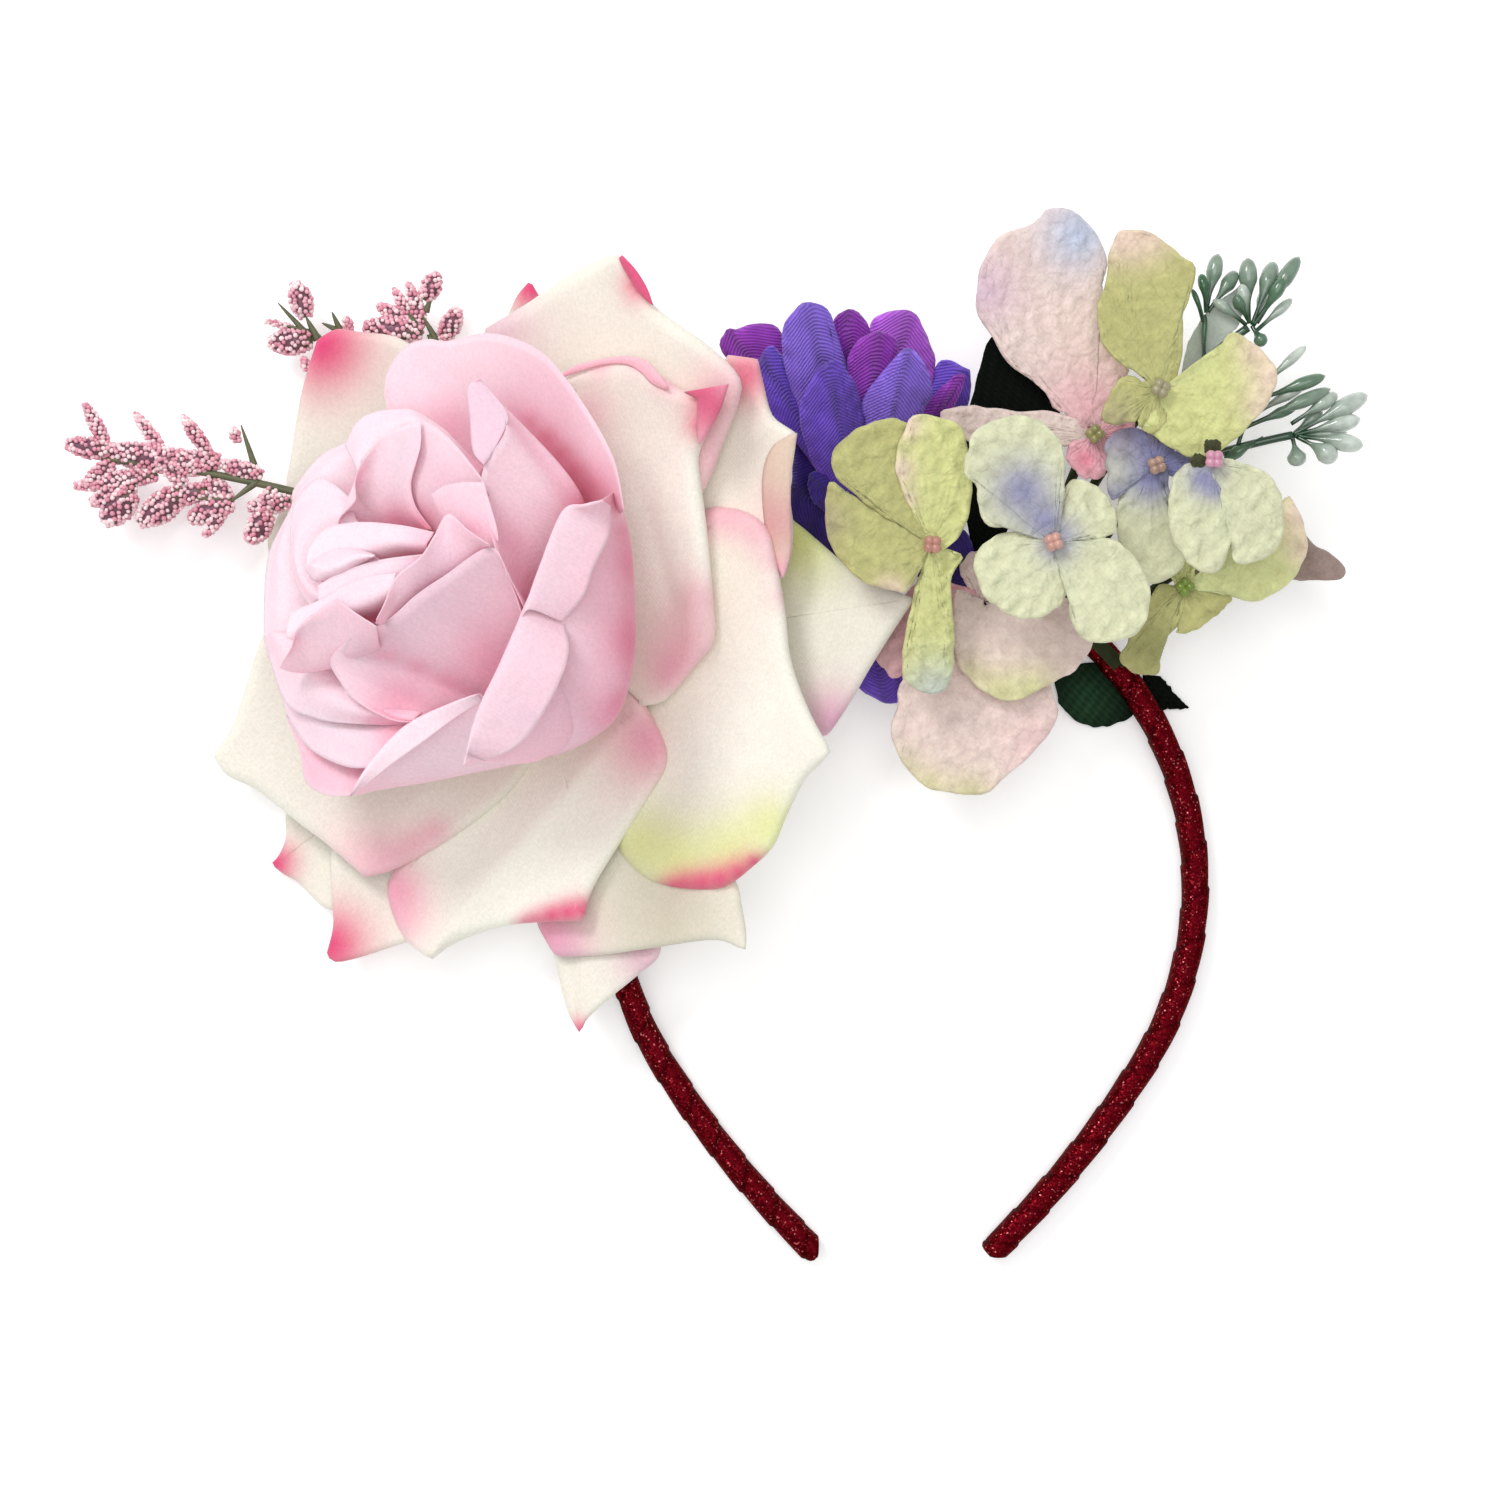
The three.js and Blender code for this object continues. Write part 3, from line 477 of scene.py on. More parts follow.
def new_group(name, inputs, outputs):
    """A node group with its sockets, and the nodes that take them in and give them out."""
    group = bpy.data.node_groups.new(name, "ShaderNodeTree")
    for way, sockets in (("INPUT", inputs), ("OUTPUT", outputs)):
        for socket, kind in sockets.items():
            group.interface.new_socket(socket, in_out=way, socket_type="NodeSocket" + kind)
    return group, group.nodes.new("NodeGroupInput"), group.nodes.new("NodeGroupOutput")


def cloth_group():
    """A shared cloth effect: a fine weave and soft mottling over the colour of each point, and a height for
    the bump.
    """
    group, given, made = new_group(
        "woven_cloth", {"Point colour": "Color", "Threads": "Float", "Contrast": "Float", "Mottle": "Float"},
        {"Colour": "Color", "Height": "Float", "Crinkle": "Float"})
    place = add_node(group, "TexCoord")
    warp = add_node(group, "TexWave", {
        "Vector": place.outputs["Object"], "Scale": given.outputs["Threads"], "Distortion": 1.5,
        "Detail": 1.0, "Detail Scale": 2.0}, bands_direction="DIAGONAL")
    turned = add_node(group, "Mapping", {
        "Vector": place.outputs["Object"], "Rotation": (0.4, 0.3, 1.571)})
    weft = add_node(group, "TexWave", {
        "Vector": turned.outputs["Vector"], "Scale": given.outputs["Threads"], "Distortion": 1.5,
        "Detail": 1.0, "Detail Scale": 2.0}, bands_direction="DIAGONAL")
    weave = add_node(group, "Math", {0: warp.outputs["Fac"], 1: weft.outputs["Fac"]}, operation="ADD")
    half = add_node(group, "Math", {0: weave.outputs["Value"], 1: 0.5}, operation="MULTIPLY")
    blot = add_node(group, "TexNoise", {
        "Vector": place.outputs["Object"], "Scale": 160.0, "Detail": 5.0, "Roughness": 0.6})
    thread_low = add_node(group, "Math", {0: 1.0, 1: given.outputs["Contrast"]}, operation="SUBTRACT")
    thread = add_node(group, "MapRange", {
        "Value": half.outputs["Value"], "To Min": thread_low.outputs["Value"], "To Max": 1.0})
    blot_low = add_node(group, "Math", {0: 1.0, 1: given.outputs["Mottle"]}, operation="SUBTRACT")
    blotch = add_node(group, "MapRange", {
        "Value": blot.outputs["Fac"], "From Min": 0.3, "From Max": 0.7,
        "To Min": blot_low.outputs["Value"], "To Max": 1.0})
    slub = add_node(group, "TexNoise", {
        "Vector": place.outputs["Object"], "Scale": 1500.0, "Detail": 2.0, "Roughness": 0.7})
    slubbed = add_node(group, "MapRange", {
        "Value": slub.outputs["Fac"], "From Min": 0.3, "From Max": 0.7, "To Min": 0.93, "To Max": 1.04})
    shade = add_node(group, "Math", {0: thread.outputs["Result"], 1: blotch.outputs["Result"]},
                     operation="MULTIPLY")
    grained = add_node(group, "Math", {0: shade.outputs["Value"], 1: slubbed.outputs["Result"]},
                       operation="MULTIPLY")
    coloured = add_node(group, "VectorMath", {0: given.outputs["Point colour"], "Scale": grained.outputs["Value"]},
                        operation="SCALE")
    strayed = add_node(group, "TexNoise", {
        "Vector": place.outputs["Object"], "Scale": 260.0, "Detail": 2.0})
    stray = add_node(group, "VectorMath", {0: strayed.outputs["Color"], "Scale": 0.004}, operation="SCALE")
    moved = add_node(group, "VectorMath", {0: place.outputs["Object"], 1: stray.outputs["Vector"]},
                     operation="ADD")
    cells = add_node(group, "TexVoronoi", {"Vector": moved.outputs["Vector"], "Scale": 470.0},
                     feature="F1")
    group.links.new(cells.outputs["Distance"], made.inputs["Crinkle"])
    group.links.new(coloured.outputs["Vector"], made.inputs["Colour"])
    group.links.new(half.outputs["Value"], made.inputs["Height"])
    return group


WOVEN = cloth_group()


def cloth_finish(name, threads, contrast, mottle, bump, roughness, sheen, glow, gloss, crinkle=0.0):
    """A cloth in the colour painted on the mesh, woven and mottled, with a sheen and some light through;
    crinkles get painted shade in their hollows.
    """
    finish, tree = new_finish(name)
    point_colour = add_node(tree, "VertexColor", layer_name="point_colour")
    cloth = add_node(tree, "Group", node_tree=WOVEN, sockets={
        "Point colour": point_colour.outputs["Color"], "Threads": threads, "Contrast": contrast, "Mottle": mottle})
    colour = cloth.outputs["Colour"]
    relief = add_node(tree, "Bump", {
        "Height": cloth.outputs["Height"], "Strength": bump, "Distance": 0.0003})
    if crinkle:
        relief = add_node(tree, "Bump", {
            "Height": cloth.outputs["Crinkle"], "Strength": crinkle, "Distance": 0.0012,
            "Normal": relief.outputs["Normal"]}, invert=True)
        # Painted shade: the colour is darkened in the crinkles' hollows and lifted a little on their rises.
        crinkle_painted_shade = add_node(tree, "MapRange", {
            "Value": cloth.outputs["Crinkle"], "From Max": 0.8, "To Min": 1.03, "To Max": 0.92})
        colour = add_node(tree, "VectorMath", {
            0: colour, "Scale": crinkle_painted_shade.outputs["Result"]}, operation="SCALE").outputs["Vector"]
    close_finish(tree, {
        "Base Color": colour, "Normal": relief.outputs["Normal"],
        "Roughness": roughness, "Sheen Weight": sheen, "Specular IOR Level": gloss,
        "Subsurface Weight": glow, "Subsurface Radius": (1.0, 0.6, 0.6), "Subsurface Scale": 0.002})
    return finish


cream_silk = cloth_finish(
    "cream_silk", threads=640.0, contrast=0.03, mottle=0.04, bump=0.12, roughness=0.8, sheen=0.2,
    glow=0.0, gloss=0.25)

# Each cream petal: layer from the top, radius and angle of its rolled rim, root and rim in pixels,
# folds as a line in pixels with a height and a half width, and dabs of dye, painted light and painted shade.
# A corner that is folded over is a flap: its colour, its rise, its two sides in pixels and its own dabs.
SKIRT_PETALS = [
    dict(name="tube", layer=0, roll=3.4, curl=150, root_px=(575, 640),
         edge_px=[(590, 560), (563, 377, "corner"), (596, 362), (627, 357), (648, 365), (670, 384),
                  (690, 392), (727, 386, "corner"), (712, 420), (699, 450), (698, 470), (705, 523),
                  (712, 599), (713, 640), (695, 664), (665, 699), (640, 706)],
         folds_px=[(563, 372, 720, 384, 3.4, 60), (640, 480, 672, 600, -1.0, 12),
                   (692, 600, 690, 680, 1.2, 11)],
         flaps_px=[(FLAP_ROSE, 1.0, [(684, 392), (697, 400), (698, 422), (699, 443)],
                    [(729, 384), (722, 406), (712, 426), (700, 444)],
                    [(700, 440, 22, BLUSH, 0.8), (726, 388, 12, BLUSH, 0.5)]),
                   (FLAP_BLUSH, 0.2,
                    [(561, 378), (580, 371), (604, 364), (626, 364), (640, 371), (652, 383), (666, 390)],
                    [(560, 375), (577, 365), (603, 359), (629, 356), (648, 362), (660, 376), (669, 388)],
                    [])],
         # The broad whitest dab is painted light on the petal's shaded middle.
         dabs_px=[(640, 520, 130, CREAM_PAINTED_LIGHT, 0.8), (600, 362, 14, BLUSH, 0.9), (640, 360, 14, BLUSH, 0.9),
                  (668, 382, 14, BLUSH, 0.9), (710, 395, 24, TIP_PINK, 0.85), (702, 425, 16, TIP_PINK, 0.8),
                  (590, 412, 22, BLUSH, 0.5), (690, 650, 46, BLUSH, 0.75), (670, 672, 22, ROSE_PINK, 0.5),
                  (704, 600, 26, BLUSH, 0.6)]),
    dict(name="left", layer=0, roll=2.2, curl=110, root_px=(520, 660),
         edge_px=[(300, 560), (262, 640), (247, 685), (233, 727), (214, 756, "corner"), (228, 775),
                  (257, 789), (299, 822), (327, 843), (365, 876, "corner"), (393, 869), (445, 841),
                  (505, 795), (545, 740)],
         folds_px=[(440, 760, 365, 870, 1.2, 16)],
         dabs_px=[(365, 868, 45, BLUSH, 0.7), (392, 860, 22, ROSE_PINK, 0.4),
                  (414, 846, 20, ROSE_PINK, 0.5), (436, 832, 18, ROSE_PINK, 0.5)]),
    dict(name="bottom_centre", layer=1, roll=2.6, curl=120, root_px=(560, 690),
         edge_px=[(600, 668), (632, 688), (645, 706), (663, 742), (665, 765), (650, 793), (620, 841),
                  (592, 888), (583, 920, "corner"), (540, 921), (500, 926), (455, 942),
                  (431, 959, "corner"), (405, 937), (391, 905), (390, 880), (410, 850), (480, 790),
                  (530, 730)],
         folds_px=[(637, 706, 425, 957, 2.2, 18)],
         # The broad whitest dab is painted light on the petal's shaded middle.
         dabs_px=[(520, 840, 130, CREAM_PAINTED_LIGHT, 0.7), (652, 740, 46, ROSE_PINK, 0.8),
                  (395, 890, 30, ROSE_PINK, 0.8), (400, 920, 30, ROSE_PINK, 0.6),
                  (582, 909, 13, TIP_PINK, 0.9), (568, 912, 13, TIP_PINK, 0.9),
                  (553, 915, 12, TIP_PINK, 0.9), (538, 919, 11, TIP_PINK, 0.8),
                  (524, 922, 9, TIP_PINK, 0.7)]),
    dict(name="top", layer=1, roll=3.0, curl=130, root_px=(560, 640),
         edge_px=[(500, 600), (470, 450), (485, 330, "corner"), (530, 303), (575, 272),
                  (617, 254, "corner"), (651, 304), (707, 346), (738, 377), (738, 400), (724, 438),
                  (703, 490), (640, 600)],
         flaps_px=[(FLAP_PINK, 0.6, [(619, 258), (629, 276), (640, 292), (651, 304)],
                    [(622, 255), (636, 270), (647, 288), (653, 305)], [])],
         dabs_px=[(492, 328, 45, MAUVE, 0.6), (735, 395, 40, BLUSH, 0.7), (712, 460, 45, BLUSH, 0.7),
                  (640, 285, 18, TIP_PINK, 0.9)]),
    dict(name="upper_left", layer=2, roll=2.0, curl=110, root_px=(500, 620),
         edge_px=[(330, 560), (290, 498), (292, 455), (300, 405), (308, 372), (318, 340, "corner"),
                  (337, 330), (360, 333), (403, 341), (440, 380), (480, 480)],
         dabs_px=[(322, 345, 52, TIP_PINK, 1.0)]),
    dict(name="lower_right", layer=2, roll=3.0, curl=130, root_px=(620, 640),
         edge_px=[(660, 600), (690, 540), (705, 511), (729, 509), (752, 516), (768, 532), (775, 560),
                  (784, 610), (790, 661), (809, 713), (830, 751, "corner"), (818, 765), (804, 779),
                  (785, 817), (773, 845), (754, 864), (724, 886), (691, 888), (662, 883), (639, 871),
                  (620, 848), (616, 812), (626, 760), (628, 722), (620, 690)],
         # The broad whitest dab is painted light on the petal's shaded middle.
         dabs_px=[(720, 700, 110, CREAM_PAINTED_LIGHT, 0.6), (705, 512, 26, BLUSH, 0.8), (735, 510, 26, BLUSH, 0.8),
                  (765, 528, 24, BLUSH, 0.8), (777, 560, 16, BLUSH, 0.7), (784, 596, 14, BLUSH, 0.6),
                  (640, 845, 40, LIME, 0.75), (680, 862, 36, LIME, 0.75), (730, 850, 36, LIME, 0.75),
                  (770, 825, 30, LIME, 0.75), (670, 887, 12, TIP_PINK, 0.9),
                  (686, 885, 15, TIP_PINK, 0.9), (704, 883, 15, TIP_PINK, 0.9),
                  (722, 879, 15, TIP_PINK, 0.9), (740, 871, 14, TIP_PINK, 0.9),
                  (755, 861, 10, TIP_PINK, 0.9)]),
    dict(name="corner_low", layer=2, roll=1.6, curl=100, root_px=(530, 690),
         edge_px=[(440, 740), (350, 820), (333, 848), (333, 902), (334, 926), (327, 956, "corner"),
                  (341, 961), (389, 947), (420, 930), (460, 860), (500, 760)],
         dabs_px=[(330, 945, 42, TIP_PINK, 1.0)]),
    dict(name="far_left", layer=3, roll=1.6, curl=100, root_px=(510, 640),
         edge_px=[(330, 640), (280, 590), (268, 547), (272, 530), (290, 505), (340, 500), (420, 560)]),
    dict(name="top_back", layer=3, roll=1.6, curl=100, root_px=(545, 600),
         edge_px=[(500, 480), (495, 350), (509, 315), (518, 296), (530, 282, "corner"), (539, 297),
                  (560, 330), (580, 480)],
         dabs_px=[(531, 288, 26, TIP_PINK, 1.0)]),
    dict(name="upper_right", layer=3, roll=2.4, curl=120, root_px=(610, 640),
         edge_px=[(640, 560), (690, 430), (728, 356, "corner"), (757, 360, "corner"), (762, 382),
                  (771, 415), (788, 429), (796, 434, "corner"), (792, 452), (789, 495), (792, 523),
                  (791, 551), (783, 577, "corner"), (740, 600), (680, 620)],
         # This flap's sand colour is painted shade on the folded-back strip.
         flaps_px=[(FLAP_PAINTED_SHADE, 0.8,
                    [(792, 434), (773, 447), (764, 470), (763, 500), (768, 540), (781, 576)],
                    [(797, 433), (795, 450), (791, 480), (791, 520), (791, 552), (784, 578)],
                    [(778, 522, 36, DUSTY_PINK, 0.8), (784, 572, 14, BLUSH, 0.9)])],
         dabs_px=[(745, 375, 30, TIP_PINK, 0.85), (790, 500, 28, BLUSH, 0.6), (785, 560, 30, BLUSH, 0.8)]),
    dict(name="bottom", layer=3, roll=2.0, curl=110, root_px=(590, 680),
         edge_px=[(560, 760), (545, 860), (537, 923, "corner"), (549, 944), (559, 955), (601, 954),
                  (653, 947), (714, 939), (745, 949, "corner"), (745, 930), (740, 902), (734, 880),
                  (690, 800), (640, 730)],
         folds_px=[(700, 860, 722, 940, 1.0, 10)],
         dabs_px=[(670, 925, 75, SHADED_CREAM, 0.8), (545, 935, 40, ROSE_PINK, 0.9),
                  (565, 950, 25, MAUVE, 0.6)]),
    dict(name="corner_left", layer=3, roll=1.6, curl=100, root_px=(510, 680),
         edge_px=[(430, 720), (300, 790), (287, 815), (287, 836), (280, 855), (272, 864, "corner"),
                  (285, 874), (299, 882), (331, 909), (360, 880), (450, 770)],
         dabs_px=[(275, 862, 24, TIP_PINK, 1.0)]),
    dict(name="right", layer=6, roll=2.4, curl=120, root_px=(640, 640),
         edge_px=[(700, 560), (760, 500), (795, 523), (818, 542), (846, 566), (870, 582), (894, 592),
                  (913, 599, "corner"), (894, 628), (870, 666), (851, 699), (828, 734, "corner"),
                  (780, 740), (700, 720)],
         dabs_px=[(797, 532, 52, LIME, 1.0), (832, 722, 38, MAUVE, 0.9)]),
    dict(name="bottom_tip", layer=4, roll=1.6, curl=100, root_px=(580, 690),
         edge_px=[(570, 800), (552, 930), (556, 959), (563, 992), (570, 1015), (580, 1032, "corner"),
                  (587, 1018), (611, 996), (639, 973), (660, 950), (650, 900), (610, 780)],
         dabs_px=[(580, 1030, 12, TIP_PINK, 0.9), (645, 955, 30, MAUVE, 0.7)]),
]


def on_skirt(plan, layer):
    """Heights on a layer of the skirt's shallow dish, for the pixels of a plan, found in a few rounds."""
    across, down = plan[..., 0], plan[..., 1]
    height = np.full(across.shape, ROSE[2])
    for _ in range(SKIRT_ROUNDS):
        local = (seen(across, down, height) - ROSE) @ SKIRT_AXES.T
        far = np.hypot(local[..., 0], local[..., 1])
        wanted = SKIRT_DISH * (far / SKIRT_DISH_REACH) ** 2 - layer * (SKIRT_PITCH + SKIRT_FAN * far)
        height = height + (wanted - local[..., 2]) / SKIRT_AXES[2, 2]
    return height


def fold_height(plan, folds):
    """How far folds lift the cloth at the pixels of a plan."""
    lift = np.zeros(plan.shape[:-1])
    for across, down, to_across, to_down, high, half in folds:
        start = np.array([across, down], float)
        along = np.array([to_across, to_down], float) - start
        share = np.clip(((plan - start) @ along) / (along @ along), 0, 1)
        far = np.linalg.norm(plan - start - share[..., None] * along, axis=-1)
        lift += high * np.exp(-np.abs(far / half) ** 1.3)
    return lift


def cloth_waves(shape, seed, rise, share):
    """Slow waves across a sheet that grow towards its rim."""
    chance = random.Random(seed)
    across = np.linspace(0, 1, shape[1])[None, :]
    wave = np.zeros(shape)
    for turns in (1.3, 2.4, 4.1):
        wave += math.sqrt(1 / turns) * np.sin(
            2 * math.pi * (turns * across + chance.random()) + chance.random() * 3 * share)
    return rise * wave * share ** 1.5


for number, petal in enumerate(SKIRT_PETALS):
    edge = even_line(petal["edge_px"], SKIRT_COLUMNS)
    plan, drop, share = petal_plan(petal["root_px"], edge, petal["roll"], petal["curl"])
    height = on_skirt(plan, petal["layer"]) - drop + fold_height(plan, petal.get("folds_px", []))
    height = height + cloth_waves(drop.shape, number, SKIRT_WAVE, share)
    grid = seen(plan[..., 0], plan[..., 1], np.maximum(height, SKIRT_LOWEST))
    point_colour = dabbed_colour(grid, CREAM, [(*petal["root_px"], *ROOT_DAB_PX)] + petal.get("dabs_px", []))
    sheets = [(grid, point_colour)]
    for shade, rise, inner_px, outer_px, dabs_px in petal.get("flaps_px", []):
        inner = even_line(inner_px, FLAP_COLUMNS)
        across = np.linspace(0, 1, FLAP_ROWS)[:, None, None]
        plan = inner + (even_line(outer_px, FLAP_COLUMNS) - inner) * across
        height = on_skirt(plan, petal["layer"]) + fold_height(plan, petal.get("folds_px", []))
        height = height + rise * (FLAP_START + np.sin(math.pi * across[..., 0]))
        grid = seen(plan[..., 0], plan[..., 1], height)
        sheets.append((grid, dabbed_colour(grid, shade, dabs_px)))
    piece = sewn_piece("petal_" + petal["name"], sheets, SILK_THICK, cream_silk)
    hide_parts("rose_skirt_" + petal["name"])

# Rose bud: sixteen pink cupped petals of finer silk, wrapped one over the other about the bud's axis.
# Each is glued at its root to the post's head; the outer rims are rolled back and greyed with mauve.
# Steep walls, the roots and the crevices are painted deeper pink as shade, and a few pale dabs are painted
# light.
BUD_TILT = 31.0
BUD_TOWARDS = 152.0
BUD_RISE = 10.0
BUD_AXES = flower_axes(BUD_TILT, BUD_TOWARDS)
BUD_BASE = ROSE + np.array([-3.0, 1.0, 0.0]) + BUD_RISE * BUD_AXES[2]
BUD_THICK = 0.35
BUD_COLUMNS = 64
BUD_SPANS = 14
STEEP_PAINTED_SHADE = 0.6
ROOT_DYE_AND_PAINTED_SHADE = 0.7
ROOT_DYE_AND_SHADE_END = 1.08
RIM_GREY = 0.5
RIM_GREY_SPAN = 0.08
PETAL_PINK = tint(252, 212, 224)
# Deeper pinks, used as painted shade in hollows and crevices; towards the roots the deep pink is also dye.
DEEP_PINK_PAINTED_SHADE = tint(222, 92, 128)
CRIMSON_PAINTED_SHADOW = tint(196, 50, 92)
SOFT_PINK_PAINTED_SHADE = tint(246, 162, 186)
GREY_PINK = tint(236, 201, 216)
PALE_PINK = tint(254, 226, 236)
# Each ring of the bud: the radius and the height of its roots, and how far they spread
BUD_ROOTS = {"outer": (13.0, 0.0, 0.9), "second": (10.0, 6.0, 0.6), "third": (7.0, 14.0, 0.5),
             "inner": (4.6, 24.0, 0.4), "core": (2.0, 39.0, 0.4)}

